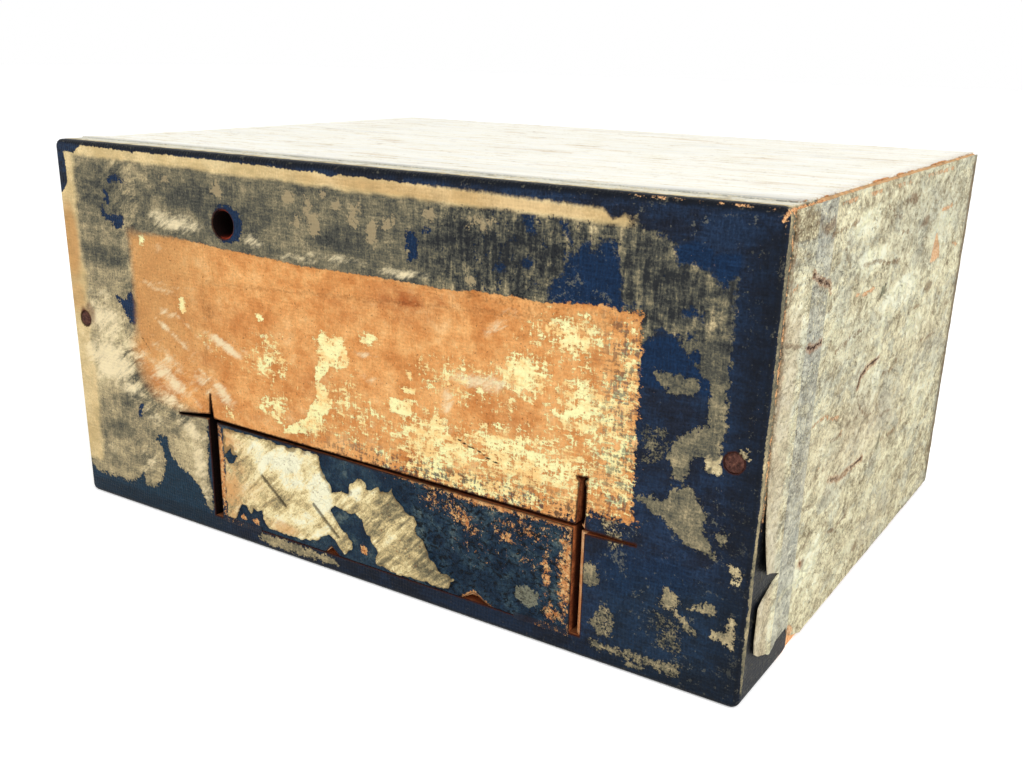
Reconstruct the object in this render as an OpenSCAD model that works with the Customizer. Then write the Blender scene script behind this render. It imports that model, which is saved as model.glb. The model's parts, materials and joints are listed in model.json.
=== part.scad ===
// Antique collection box: thin boards under a blue cloth front and worn paper.
// A flap sawn out of the foot of the front hangs on the cloth along its lower edge.
// The origin is the centre of the base, the front faces -Y and the top faces +Z.
// All sizes are in millimetres.

/* [Box] */
// Overall width over the side papers
body_w = 242.5; // [202:0.5:300]
// Overall depth from the label remains to the back paper
body_d = 185; // [154:0.5:230]
// Overall height from the base to the top paper
body_h = 120.5; // [100:0.5:160]
// Rounding of the outer edges of the boards
edge_r = 1.2; // [0.4:0.1:2]
// Rounding of the box's corners seen from the front
corner_r = 2; // [1.2:0.1:3]

/* [Boards] */
// Thickness of the front board
front_t = 7.5; // [5:0.1:10]
// Thickness of the back board
back_t = 8; // [5:0.1:12]
// Thickness of the two side boards
side_t = 12; // [9:0.1:16]
// Thickness of the top board
top_t = 5.5; // [4:0.1:8]
// Thickness of the bottom board
bottom_t = 5.5; // [4:0.1:8]

/* [Coverings] */
// Thickness of the blue cloth
cloth_t = 0.4; // [0.25:0.05:0.8]
// Thickness of the paper
paper_t = 0.3; // [0.2:0.05:0.6]
// Thickness of the label remains
label_t = 0.2; // [0.1:0.05:0.4]
// Depth of the cloth turned round on to each side
side_turn = 32.5; // [20:0.5:60]
// Depth of the cloth turned over on to the top
top_turn = 16; // [12:1:40]
// Depth of the cloth turned under the base
base_turn = 14; // [8:1:40]
// Distance from the front to the side papers
side_setback = 4; // [2:0.5:8]
// Distance from the front to the top paper
top_setback = 9; // [5:0.5:11]
// Strip worn bare along the upper edges
worn_w = 2.2; // [1.5:0.1:4]
// Margin of the papers at the back and lower edges
paper_margin = 1.4; // [1:0.1:3]

/* [Flap] */
// Width of the flap
flap_w = 128; // [90:1:155]
// Height of the flap at its left end
flap_h_left = 32.2; // [20:0.1:45]
// Height of the flap at its right end
flap_h_right = 30.3; // [20:0.1:45]
// Distance of the flap's centre to the right of the box's centre
flap_shift = 9.5; // [0:0.5:14]
// Width of the saw cut at the left of the flap
kerf_left = 3.7; // [1:0.1:5]
// Width of the saw cut at the right of the flap
kerf_right = 1.6; // [1:0.1:4]
// Height of the saw cut over the flap
kerf_top = 1.2; // [0.8:0.1:3]
// Width of the bare bevel beside the right saw cut
bevel_w = 1.8; // [0.5:0.1:3]
// Depth of that bevel
bevel_d = 1.6; // [0.5:0.1:3]
// Depth of the blind ends where the saw ran past the corners
overcut_depth = 5; // [2:0.1:6]
// Gap under the flap
flap_gap = 0.3; // [0.2:0.05:1]
// Gap between the flap and the batten that stops it
stop_gap = 0.3; // [0.2:0.05:1]
// Gap over the flap as it swings out
swing_gap = 0.4; // [0.2:0.05:0.8]
// Half height of the cloth strips that bend
hinge_band = 1.1; // [0.6:0.1:2]
// Width of the sound strip at each end of the cloth hinge
hinge_sound = 17; // [5:1:40]
// Height of the crack between the sound strips
crack_h = 0.5; // [0.2:0.1:1]
// Thickness of the stop batten
stop_t = 6; // [3:0.1:12]
// Height by which the batten laps behind the flap
stop_lap = 4; // [2:0.1:8]
// Height of the batten glued over the opening
stop_seat = 9; // [5:0.1:20]

/* [Round hole] */
// Diameter of the round hole
hole_d = 8; // [4:0.1:14]
// Distance of the hole from the left edge
hole_from_left = 75; // [40:0.5:110]
// Distance of the hole from the top
hole_from_top = 20.1; // [14:0.1:30]
// Ring of cloth worn away round the hole
hole_worn = 0.35; // [0.1:0.05:1]

/* [Nails] */
// Diameter of a front nail's head
nail_head_d = 5; // [3:0.1:6]
// Diameter of a front nail's shank
nail_d = 2.2; // [1.4:0.1:3]
// Length of a front nail under its head
nail_l = 30; // [20:1:45]
// Distance of the nails from the side edges
nail_inset = 7.1; // [6:0.1:9]
// Distance of the nails above the middle of the height
nail_rise = 2.5; // [-10:0.5:10]
// Diameter of a pin's head
pin_head_d = 2.2; // [1.6:0.1:3]
// Diameter of a pin's shank
pin_d = 1.2; // [0.8:0.1:2]
// Length of a pin
pin_l = 16; // [10:1:20]
// Gap round a nail or pin in its hole
nail_fit = 0.05; // [0.02:0.01:0.2]

/* [Lifted paper] */
// Height where the lifted corner of the right paper starts
lift_top = 64; // [45:1:75]
// Height where its tear ends
tear_z = 29.5; // [20:0.1:34]
// Distance of the tear's end from the front
tear_depth = 18.4; // [12:0.1:26]
// Radius of the curl above the tear
curl_upper_r = 27; // [24:1:80]
// Radius of the curl below the tear
curl_lower_r = 126; // [90:1:200]

/* [Hidden] */

$fn = 48;
past = 1;

wood = [0.62, 0.40, 0.24];
raw_wood = [0.78, 0.56, 0.36];
navy = [0.10, 0.19, 0.35];
teal = [0.14, 0.29, 0.39];
paper = [0.73, 0.71, 0.61];
pale_paper = [0.93, 0.91, 0.84];
cream = [0.84, 0.75, 0.56];
rust = [0.33, 0.18, 0.14];

// Planes across the depth, from the front to the back
front_y = -body_d / 2;
cloth_y = front_y + label_t;
board_y = cloth_y + cloth_t;
inner_y = board_y + front_t;
back_board_y = body_d / 2 - paper_t;
back_inner_y = back_board_y - back_t;

// Planes across the width and up the height
left_x = -body_w / 2;
side_x = body_w / 2 - paper_t - cloth_t;
side_inner_x = side_x - side_t;
side_mid_x = side_x - side_t / 2;
base_z = cloth_t;
floor_z = base_z + bottom_t;
board_top_z = body_h - paper_t - cloth_t;
ceiling_z = board_top_z - top_t;
paper_top_z = body_h - worn_w;

// The flap turns about the outer face of the cloth at the top of the bottom board
hinge_z = floor_z;
flap_x0 = flap_shift - flap_w / 2;
flap_x1 = flap_shift + flap_w / 2;
flap_t = front_t - stop_gap;
flap_top_left = hinge_z + flap_h_left;
flap_top_right = hinge_z + flap_h_right;
flap_fall = atan2(flap_h_left - flap_h_right, flap_w);
// The saw was held aslant, so that the flap's inner top corner swings past the board
swing_reach = flap_h_left + kerf_top - swing_gap;
flap_drop = max(0, flap_h_left - sqrt(pow(swing_reach, 2) - pow(cloth_t + flap_t, 2)));
flap_slant = atan2(flap_drop, flap_t);

// Saw cuts seen from the front, as corners from the nearest corner of the flap
cut_x0 = flap_x0 - kerf_left;
cut_x1 = flap_x1 + kerf_right;
cut_top_left = flap_top_left + kerf_top;
cut_top_right = flap_top_right + kerf_top;
overcut_left_level = [[-13.3, -1.5], [0.5, -0.3], [0.5, 1.2], [-3, 0.6], [-13.3, -0.8]];
overcut_left_upright = [[0.4, -0.5], [2.4, -0.5], [1.8, 4], [1.6, 7.8], [1.2, 7.8], [0.7, 4]];
overcut_right_upright = [
  [-0.9, -0.5], [1, -0.5], [1.5, 3], [1.4, 12.2], [2.1, 12.6], [2.1, 13.2], [-1.2, 13],
  [-1.2, 12.4], [-0.5, 12]
];
overcut_right_level = [[-0.5, -2.2], [16.2, -1.7], [16.2, -1.1], [-0.5, -0.9]];
bevel_top = cut_top_right + 11;

// Chips out of the flap's lower edge: distance from its left end, width and height
chips = [[46.6, 6, 2.3], [98.8, 9.6, 2.5]];
chip_depth = 2.5;

// Nails through the front and back into the side boards, and pins into the edges
nail_z = body_h / 2 + nail_rise;
nail_x = body_w / 2 - nail_inset;
nail_head_t = label_t + cloth_t;
sunk_head_t = 1.2;
pin_head_t = 0.6;
pin_ys = [for (k = [0.15, 0.5, 0.85]) inner_y + k * (back_inner_y - inner_y)];
pin_places = [for (s = [-1, 1], y = pin_ys) [s * side_mid_x, y]];

// Torn outline of the right paper: distance from the front, height over the base
ragged_front = [[0.2, 0.97], [-0.5, 0.7], [0.3, 0.45], [-0.3, 0.2]];
crease_top = [side_setback, lift_top];
crease_foot = [tear_depth, tear_z];
crease_run = (crease_foot - crease_top) / norm(crease_foot - crease_top);
crease_lap = [-crease_run.y, crease_run.x];
crease_step = 0.05;
upper_tongue = [
  crease_top, [side_setback, tear_z + 5], crease_foot,
  crease_foot + crease_lap, crease_top + crease_lap
];
tear = [
  [tear_depth + 1.2, tear_z], [side_setback - 1, tear_z + 6.8],
  [side_setback - 1, tear_z - 3.6], [tear_depth - 8.4, tear_z - 1.6]
];
lower_tongue = [
  [tear_depth + 1, tear_z - 22], [tear_depth + 1, tear_z], [side_setback + 0.5, tear_z - 3],
  [side_setback + 0.3, tear_z - 12], [side_setback + 1.4, tear_z - 16],
  [tear_depth - 9.4, tear_z - 18.3], [tear_depth - 2.8, tear_z - 21], [tear_depth, tear_z - 22.5]
];
torn_foot = [
  [tear_depth, tear_z - 22.5], [tear_depth + 3, tear_z - 21.6], [tear_depth + 4.8, tear_z - 20.6],
  [tear_depth + 12, tear_z - 20], [tear_depth + 14.6, 5.6], [tear_depth + 19.6, 3.6],
  [tear_depth + 26, paper_margin]
];

// Label remains along the top and left of the front: distance from the left, distance from the top
border_foot = body_h - 10;
border = [
  [11, 2.3], [33, 2.1], [83, 2.3], [111, 2.7], [153, 3.3], [183, 3.9], [198, 4.3], [198, 8], [143, 7.5],
  [93, 6.3], [16, 5.2], [9.3, 6.5], [9.1, 17], [8.7, 60], [7.5, border_foot], [2, border_foot], [2, 17.7],
  [4, 15.5], [5.8, 13.5], [5.5, 7], [4.8, 4.5], [10.1, 4.8]
];

// Label remains on the flap: distance from its left end, height over its foot
flap_scrap = [
  [5.6, 30.7], [42.7, 30.1], [41.6, 28.1], [46.1, 22.8], [46.7, 19.6], [50.4, 20.7], [54.1, 22.3],
  [55.2, 25.5], [58.9, 27.1], [61.6, 23.9], [69.9, 26.8], [74.4, 19.6], [78.4, 16.4], [81.3, 13.7],
  [82.9, 8.9], [91.2, 4.1], [89.4, 1.4], [61, 1.4], [64.3, 4.7], [60, 10], [56.8, 14.8], [47.2, 15.3],
  [47.7, 11.1], [54.7, 4.7], [50.4, 1.6], [18.4, 3.6], [16.8, 6.8], [13, 4.7], [11, 6.8], [6.7, 2.5],
  [3.5, 7.8], [2.4, 16.9], [6.7, 24.9]
];

// Shapes shared by the pieces

module rounded_rect(w, h, r) {
  translate([r, 0]) square([w - 2 * r, h]);
  translate([0, r]) square([w, h - 2 * r]);
  for (x = [r, w - r], y = [r, h - r]) translate([x, y]) circle(r);
}

// A block between two corners, with every edge rounded, and more at the corners seen from the front
module rounded_block(lo, hi, r, corner) {
  s = hi - lo;
  translate(lo) intersection() {
    linear_extrude(s.z) rounded_rect(s.x, s.y, r);
    translate([0, s.y, 0]) rotate([90, 0, 0]) linear_extrude(s.y) rounded_rect(s.x, s.z, corner);
    rotate([90, 0, 90]) linear_extrude(s.x) rounded_rect(s.y, s.z, r);
  }
}

module between(lo, hi) {
  translate(lo) cube(hi - lo);
}

// An outline seen from the front, from plane y inwards
module through_front(y, depth) {
  translate([0, y + depth, 0]) rotate([90, 0, 0]) linear_extrude(depth) children();
}

// An outline seen from the right, from plane x outwards
module through_side(x, depth) {
  translate([x, front_y, 0]) rotate([90, 0, 90]) linear_extrude(depth) children();
}

// The whole box of boards, before it is divided into single boards
module boards_block() {
  rounded_block([-side_x, board_y, base_z], [side_x, back_board_y, board_top_z], edge_r, corner_r);
}

module board(lo, hi) {
  intersection() {
    boards_block();
    between(lo, hi);
  }
}

// A sheet seen on edge, which laps on to the cloth and steps down behind it
module lapped_edge(start, lap, end, step, t) {
  polygon([
    [start, step], [lap, step], [lap, 0], [end, 0],
    [end, t], [lap + t, t], [lap + t, step + t], [start, step + t]
  ]);
}

// A nail along Z: its head stands on the plane z = 0 and its shank goes down
module nail(head_d, head_t, shank_d, l) {
  rotate_extrude() polygon([
    [0, head_t], [head_d * 0.3, head_t], [head_d / 2, head_t * 0.45], [head_d / 2, 0],
    [shank_d / 2, 0], [shank_d / 2, -l + shank_d], [shank_d * 0.1, -l], [0, -l]
  ]);
}

// Places and turns a child that is drawn along Z for each front or back nail
module at_nails(y, side) {
  for (s = [-1, 1]) translate([s * nail_x, y, nail_z]) rotate([side * 90, 0, 0]) children();
}

module at_pins(z, side) {
  for (p = pin_places) translate([p.x, p.y, z]) rotate([side > 0 ? 0 : 180, 0, 0]) children();
}

module nail_hole(sunk) {
  translate([0, 0, -nail_l - past]) cylinder(d = nail_d + 2 * nail_fit, h = nail_l + 2 * past);
  if (sunk > 0) translate([0, 0, -sunk]) cylinder(d = nail_head_d + 2 * nail_fit, h = sunk + past);
}

module pin_hole() {
  translate([0, 0, -pin_l - past]) cylinder(d = pin_d + 2 * nail_fit, h = pin_l + 2 * past);
  translate([0, 0, -pin_head_t]) cylinder(d = pin_head_d + 2 * nail_fit, h = pin_head_t + past);
}

// The front's cuts, as outlines seen from the front

module opening_outline(foot_z) {
  polygon([
    [cut_x0, foot_z], [cut_x0, cut_top_left], [cut_x1, cut_top_right], [cut_x1, foot_z]
  ]);
}

module overcut_outlines() {
  translate([cut_x0, cut_top_left]) {
    polygon(overcut_left_level);
    polygon(overcut_left_upright);
  }
  translate([cut_x1, cut_top_right]) {
    polygon(overcut_right_upright);
    polygon(overcut_right_level);
  }
}

module chip_outlines(grow) {
  for (c = chips) translate([flap_x0 + c[0], hinge_z]) polygon([
    [-c[1] / 2 - grow, 0], [-c[1] * 0.1, c[2] + grow], [c[1] / 2 + grow, 0]
  ]);
}

module hinge_outlines() {
  for (x = [flap_x0, flap_x1 - hinge_sound])
    translate([x, hinge_z - hinge_band]) square([hinge_sound, 2 * hinge_band]);
}

module round_hole(worn) {
  translate([left_x + hole_from_left, front_y - past, body_h - hole_from_top]) rotate([-90, 0, 0])
    cylinder(d = hole_d + 2 * worn, h = front_t + 2 * past + label_t + cloth_t);
}

// Boards of the case

module bottom_board() {
  color(wood) difference() {
    board([-body_w, -body_d, 0], [body_w, body_d, floor_z]);
    at_pins(base_z, -1) pin_hole();
  }
}

module top_board() {
  color(raw_wood) difference() {
    board([-body_w, -body_d, ceiling_z], [body_w, body_d, body_h]);
    at_pins(board_top_z, 1) pin_hole();
  }
}

module side_board(side) {
  color(raw_wood) difference() {
    board(
      [side > 0 ? side_inner_x : -side_x - past, inner_y, floor_z],
      [side > 0 ? side_x + past : -side_inner_x, back_inner_y, ceiling_z]
    );
    at_nails(board_y, 1) nail_hole(0);
    at_nails(back_board_y, -1) nail_hole(0);
    at_pins(board_top_z, 1) pin_hole();
    at_pins(base_z, -1) pin_hole();
  }
}

module left_board() side_board(-1);

module right_board() side_board(1);

module back_board() {
  color(wood) difference() {
    board([-body_w, back_inner_y, floor_z], [body_w, body_d, ceiling_z]);
    at_nails(back_board_y, -1) nail_hole(sunk_head_t);
  }
}

// Notched for the flap at its foot, with the blind ends of the saw cuts
module front_board() {
  color(wood) difference() {
    board([-body_w, -body_d, floor_z], [body_w, inner_y, ceiling_z]);
    through_front(board_y - past, front_t + 2 * past) opening_outline(floor_z - past);
    through_front(board_y - past, overcut_depth + past) overcut_outlines();
    right_bevel();
    round_hole(0);
    at_nails(board_y, 1) nail_hole(0);
  }
}

// The bare edge that runs up beside the right saw cut
module right_bevel() {
  translate([cut_x1, board_y, floor_z - past]) linear_extrude(bevel_top - floor_z + past)
    polygon([[-past, -past], [bevel_w, -past], [bevel_w, 0], [0, bevel_d], [-past, bevel_d]]);
}

// Glued inside over the opening, so that the flap can't swing inwards
module flap_stop() {
  low_z = min(flap_top_left, flap_top_right) - stop_lap;
  high_z = max(cut_top_left, cut_top_right) + stop_seat;
  color(wood) between([cut_x0 - stop_seat, inner_y, low_z], [cut_x1 + stop_seat, inner_y + stop_t, high_z]);
}

// Nails and pins

module front_nails() {
  color(rust) at_nails(board_y, 1) nail(nail_head_d, nail_head_t, nail_d, nail_l);
}

// Sunk into the back board, under its paper
module back_nails() {
  color(rust) at_nails(back_board_y, -1) translate([0, 0, -sunk_head_t])
    nail(nail_head_d, sunk_head_t, nail_d, nail_l - sunk_head_t);
}

module top_pins() {
  color(rust) at_pins(board_top_z, 1) translate([0, 0, -pin_head_t])
    nail(pin_head_d, pin_head_t, pin_d, pin_l - pin_head_t);
}

module bottom_pins() {
  color(rust) at_pins(base_z, -1) translate([0, 0, -pin_head_t])
    nail(pin_head_d, pin_head_t, pin_d, pin_l - pin_head_t);
}

// Cloth

// One sheet over the front, turned in all round and cut with the flap
module front_cloth() {
  color(navy) difference() {
    intersection() {
      difference() {
        rounded_block(
          [-side_x - cloth_t, cloth_y, 0], [side_x + cloth_t, back_board_y, board_top_z + cloth_t],
          edge_r + cloth_t, corner_r + cloth_t
        );
        rounded_block(
          [-side_x, board_y, base_z], [side_x, back_board_y + past, board_top_z], edge_r, corner_r
        );
      }
      union() {
        between([-body_w, -body_d, -past], [body_w, board_y + edge_r, body_h]);
        for (s = [-1, 1]) translate([s * (side_x + past), front_y + side_turn / 2, body_h / 2])
          cube([2 * past + 2 * edge_r, side_turn, body_h * 2], center = true);
        between([-body_w, front_y, board_top_z - corner_r], [body_w, front_y + top_turn, body_h]);
        between([-body_w, front_y, -past], [body_w, front_y + base_turn, base_z + corner_r]);
      }
    }
    through_front(front_y - past, label_t + cloth_t + 2 * past) {
      opening_outline(hinge_z);
      overcut_outlines();
      hinge_outlines();
      translate([flap_x0, hinge_z - crack_h / 2]) square([flap_w, crack_h]);
      translate([cut_x1 - past, hinge_z]) square([bevel_w + past, bevel_top - hinge_z]);
    }
    round_hole(hole_worn);
    nail_seats();
  }
}

// Where the cloth and the label remains are worn through round the front nails
module nail_seats() {
  at_nails(board_y, 1) translate([0, 0, -past / 2])
    cylinder(d = nail_head_d + 2 * nail_fit, h = nail_head_t + past);
}

// The two sound strips of the front cloth that bend, either side of the crack
module hinge_cloth() {
  color(navy) through_front(cloth_y, cloth_t) hinge_outlines();
}

// Papers

module lapped_side(side) {
  mirror([side > 0 ? 0 : 1, 0, 0]) translate([side_x, 0, 0]) mirror([1, -1, 0])
    linear_extrude(body_h) lapped_edge(
      front_y + side_setback / 2, front_y + side_turn, back_board_y - paper_margin, cloth_t, paper_t
    );
}

// The right paper is torn near the foot of its front edge, and both tongues curl outwards
module right_paper() {
  paper_x = side_x + cloth_t;
  color(paper) difference() {
    union() {
      intersection() {
        lapped_side(1);
        through_side(side_x - past, 3 * past) polygon(concat(
          [for (p = ragged_front)
            [side_setback + p[0], lift_top + p[1] * (paper_top_z - lift_top)]],
          [crease_top, crease_foot], torn_foot,
          [[body_d, paper_margin], [body_d, paper_top_z], [side_setback, paper_top_z]]
        ));
      }
      curled(paper_x, crease_top, crease_foot, curl_upper_r) polygon(upper_tongue);
      curled(paper_x, crease_foot, [tear_depth, 0], curl_lower_r) polygon(lower_tongue);
    }
    through_side(side_x - past, 8 * past) polygon(tear);
  }
}

// Bends a flat outline on a cylinder that lies close to the side along the line from p to q
module curled(x, p, q, r) {
  intersection() {
    through_side(x - past, 6 * past) children();
    translate([x + r + crease_step, front_y + p.x, p.y]) rotate([atan2(p.x - q.x, q.y - p.y), 0, 0])
      difference() {
        cylinder(r = r, h = body_h, center = true, $fn = 96);
        cylinder(r = r - paper_t, h = body_h + 2 * past, center = true, $fn = 96);
      }
  }
}

module left_paper() {
  color(paper) intersection() {
    lapped_side(-1);
    translate([0, 0, paper_margin]) between(
      [-body_w, front_y + side_setback, 0], [0, body_d, paper_top_z - paper_margin]
    );
  }
}

module back_paper() {
  margin = [paper_margin + edge_r, 0, paper_margin];
  color(paper) between(
    [-side_x + margin.x, back_board_y, base_z + margin.z],
    [side_x - margin.x, body_d / 2, board_top_z - margin.z]
  );
}

module top_paper() {
  color(pale_paper) translate([-side_x + worn_w, 0, board_top_z]) rotate([90, 0, 90])
    linear_extrude(2 * (side_x - worn_w)) lapped_edge(
      front_y + top_setback, front_y + top_turn, back_board_y - paper_margin, cloth_t, paper_t
    );
}

// As thick as the cloth turned in before it, so that the box stands flat
module bottom_paper() {
  color(paper) between(
    [-side_x + paper_margin, front_y + base_turn, 0],
    [side_x - paper_margin, back_board_y - paper_margin, base_z]
  );
}

// Label remains

module front_label() {
  color(cream) difference() {
    through_front(front_y, label_t) translate([left_x, body_h]) mirror([0, 1]) polygon(border);
    nail_seats();
  }
}

module flap_label() {
  color(cream) through_front(front_y, label_t) translate([flap_x0, hinge_z + flap_gap]) polygon(flap_scrap);
}

// Flap

module flap_board() {
  color(wood) difference() {
    between(
      [flap_x0, board_y, hinge_z + flap_gap],
      [flap_x1, board_y + flap_t, hinge_z + flap_h_left + past]
    );
    translate([flap_x0, board_y, flap_top_left]) rotate([-flap_slant, flap_fall, 0])
      between([-past, -2 * past, 0], [flap_w + 2 * past, front_t + 2 * past, flap_h_left]);
    through_front(board_y - past, chip_depth + past) chip_outlines(0);
  }
}

module flap_cloth() {
  color(teal) through_front(cloth_y, cloth_t) difference() {
    polygon([
      [flap_x0, hinge_z + crack_h / 2], [flap_x0, flap_top_left],
      [flap_x1, flap_top_right], [flap_x1, hinge_z + crack_h / 2]
    ]);
    hinge_outlines();
    chip_outlines(0.3);
  }
}

bottom_board();
left_board();
right_board();
back_board();
front_board();
top_board();
flap_stop();
front_nails();
back_nails();
top_pins();
bottom_pins();
front_cloth();
hinge_cloth();
right_paper();
left_paper();
back_paper();
top_paper();
bottom_paper();
front_label();
flap_board();
flap_cloth();
flap_label();
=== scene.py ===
"""The looks of an antique collection box: worn blue cloth, label remains, flaking paper and bare wood.

Outlines on the front are "distance from the mark,height over the mark" in millimetres, where the mark is
a point near the lower left corner, and outlines on a side are "distance from the front,height over the
mark". Soft ovals are "middle,height,half length,half width,angle in degrees,strength".
"""

import json
import math

import bpy
import numpy as np
from bpy.props import FloatProperty, FloatVectorProperty, PointerProperty
from mathutils import Matrix, Vector


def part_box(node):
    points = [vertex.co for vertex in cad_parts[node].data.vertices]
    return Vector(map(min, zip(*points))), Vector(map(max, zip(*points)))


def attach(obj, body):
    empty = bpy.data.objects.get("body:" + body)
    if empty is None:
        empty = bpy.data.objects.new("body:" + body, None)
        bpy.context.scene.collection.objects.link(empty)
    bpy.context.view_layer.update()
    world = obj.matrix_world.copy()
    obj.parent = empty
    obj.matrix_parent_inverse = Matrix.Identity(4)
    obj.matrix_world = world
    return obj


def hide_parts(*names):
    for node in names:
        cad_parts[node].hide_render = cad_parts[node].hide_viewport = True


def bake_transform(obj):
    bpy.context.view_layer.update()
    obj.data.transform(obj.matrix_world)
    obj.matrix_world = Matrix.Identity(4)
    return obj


bl_info = {
    "name": "Antique collection box",
    "version": (1, 0, 0),
    "blender": (4, 5, 0),
    "location": "3D View > Sidebar > Collection Box",
    "description": "Makes the worn cloth, papers, nails and bare boards of the box around its packed frame",
    "category": "Object",
}

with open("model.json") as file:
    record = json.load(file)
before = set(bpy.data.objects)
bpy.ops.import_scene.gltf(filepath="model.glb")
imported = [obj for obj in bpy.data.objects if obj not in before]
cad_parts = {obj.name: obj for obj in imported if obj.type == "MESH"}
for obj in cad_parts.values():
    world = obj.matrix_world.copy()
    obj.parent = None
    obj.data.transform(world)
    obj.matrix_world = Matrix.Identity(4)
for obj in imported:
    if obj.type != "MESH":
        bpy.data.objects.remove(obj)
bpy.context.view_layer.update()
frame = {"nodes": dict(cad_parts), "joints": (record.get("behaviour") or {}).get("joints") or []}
MM = 0.001


# Places taken from the frame, in millimetres

def corner(node, side):
    """A node's lowest (0) or highest (1) corner in millimetres."""
    return np.array(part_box(node)[side]) / MM


def rows(text):
    """Rows of numbers: commas lie within a row and spaces between rows."""
    return [tuple(float(number) for number in row.split(",")) for row in text.split()]


def outlines(text):
    """Several lists of rows, with a bar between them."""
    return [rows(part) for part in text.split("|")]


LEFT, FRONT = corner("left_paper", 0)[0], corner("front_label", 0)[1]
# The outlines' zero lies on the front, a little inside the box's worn lower left corner
MARK_X, MARK_Z = LEFT + 2.8, 2.0
CLOTH_LOW, CLOTH_HIGH = corner("front_cloth", 0), corner("front_cloth", 1)
BOARD_Y = corner("front_board", 0)[1]
SIDE_X = corner("right_board", 1)[0]
BACK_Y = corner("back_board", 1)[1]
TOP_Z = corner("top_board", 1)[2]
CLOTH_T = BOARD_Y - CLOTH_LOW[1]
PAPER_T = corner("back_paper", 1)[1] - BACK_Y
# The worn cloth is a little thinner than the cloth as glued, so that it stays off the board
WORN_T = CLOTH_T - 0.03
# Radii of the cloth's turned edges and of the front's corners
EDGE_R, CORNER_R = 1.6, 2.4
HINGE = next(j for j in frame["joints"] if j["name"] == "flap_hinge")
HINGE_Z = HINGE["pos_m"][2] / MM
HINGE_BAND = (corner("hinge_cloth", 1)[2] - corner("hinge_cloth", 0)[2]) / 2
# Length of each sound strip of the hinge cloth
STRIP = 17.0
FLAP_LOW, FLAP_HIGH = corner("flap_cloth", 0), corner("flap_cloth", 1)
FLAP_X0, FLAP_X1 = FLAP_LOW[0] - MARK_X, FLAP_HIGH[0] - MARK_X
FLAP_FOOT = HINGE_Z - MARK_Z
# How far the cloth is turned on to the sides, the top and the base
SIDE_TURN, TOP_TURN, BASE_TURN = 32.5, 16.0, 14.0


# What is worn where on the front

FILM_MAIN = rows("""
    8.2,115.6 10.5,116.8 34,116.6 35,115.8 36,116.6 60,116.4 108,115.9 115,115 117,115.8 150,115.3
    180,114.6 195.8,114.2 198.5,112 200.5,112.6 201.5,113.6 203.5,112.2 204.5,113.2 207,110.2 202,105
    202,88 62,80 60,37 59.4,30 59.2,24 58.4,18 59.2,12 60,6.4 58.5,4.8 56.4,6.3 55.6,9.4 53.7,13.2
    50.5,15 46,16.9 42,19.4 40,23.4 39.7,26.6 35.6,26.2 33.8,25 36.2,23.3 37.6,20 38.2,16.6 37,12.6
    33.5,8.6 31,6.5 27.4,6.7 26.6,11.2 25.6,11 24.6,8.6 22.5,8 19.9,6.1 2,6.2 -1.6,9.2 -2.6,100 0.6,103
    2.4,105 2.3,111.5 1.6,114.6 7.3,114.4""")
FILM_RIGHT = rows("""
    200.5,112 207,110.2 212,109.4 214,108.2 215.5,104 222.5,103.5 224.6,101.5 226,99.5 229.2,102 229.4,77
    226,76 220,82 217,88 212,88.5 207.5,84 207.4,91 200,92""")
# Outlines of thin paper left on the cloth, each after its tone and how much of the cloth it covers
FILM_SCRAPS = outlines("""
    0.3,0.8 211.3,78.7 222.3,78.7 222,74.6 216.5,73.8 213,76.2 | 0.36,0.9 225.4,80 229.6,80 229.7,57.4
    225.6,57.2 226.4,61 222.3,59.5 221.5,55 218.6,53.3 216.4,58 217,62.5 221,66 225.6,68 | 0.95,1
    225.6,61.6 229.7,62 229.7,57.2 225.4,57.4 | 0.3,0.5 209.7,64.9 216,64.9 215.5,58 210,56 | 0.42,0.95
    208.5,46.5 212.5,48 215.5,47 219,51.5 222,52.3 224,50.5 227.2,47 226.8,42.5 229,37.5 230.5,36.3
    226,37.2 222.5,38 218.5,40.5 216.2,43.5 214,43.4 211,46 | 0.8,1 233.1,62.6 234,64.9 236,64.2
    236.2,62.4 234.6,61.8 | 0.45,0.8 230,42.4 232.8,43 232.4,40 230.6,39.4 | 0.85,1 234,35.3 236.6,34.6
    236.6,30.8 234.4,30.6 235.4,32.8 | 0.62,0.95 216.6,20.3 218.4,24.8 221.5,24.2 222.4,21.6 220.6,20.4
    224,18.6 227.3,14.8 226,14.6 222.6,17.4 219.3,19.6 | 0.66,0.9 224.5,21.2 227,22.6 230,24 231.9,23
    231.4,21 227.5,21.4 | 0.8,1 230.4,15.6 231.4,17.6 234.6,17.6 235.2,21.8 236.6,22.2 236.6,13.8
    235,14.6 233,15.4 | 0.5,0.95 195.3,25.6 199.6,26 199.9,20.6 197.5,19.8 195.3,21 | 0.5,0.6 201.5,15.6
    204.5,14 204.4,7 201,6.7 198.4,9.6 | 0.52,0.6 198.3,4.8 205.1,4.4 224.8,5.2 223,1.9 210,2.2 199,2.4 |
    0.55,0.9 208.5,1.6 213.4,1.6 213,0.2 209,0.2 | 0.32,0.45 216.2,18 223.6,17 223,8 217,8.6 | 0.7,0.5
    199,39 203.5,38.6 207,33.6 203,31.6 | 0.66,0.9 79.6,1.2 81,3 88,3.7 97,2.9 104,2.8 111,2.8 112.8,0.9
    104,0.3 92,0.1 84,0.3 | 0.45,0.55 62.5,74 66,73 66,70 62,70""")
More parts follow.
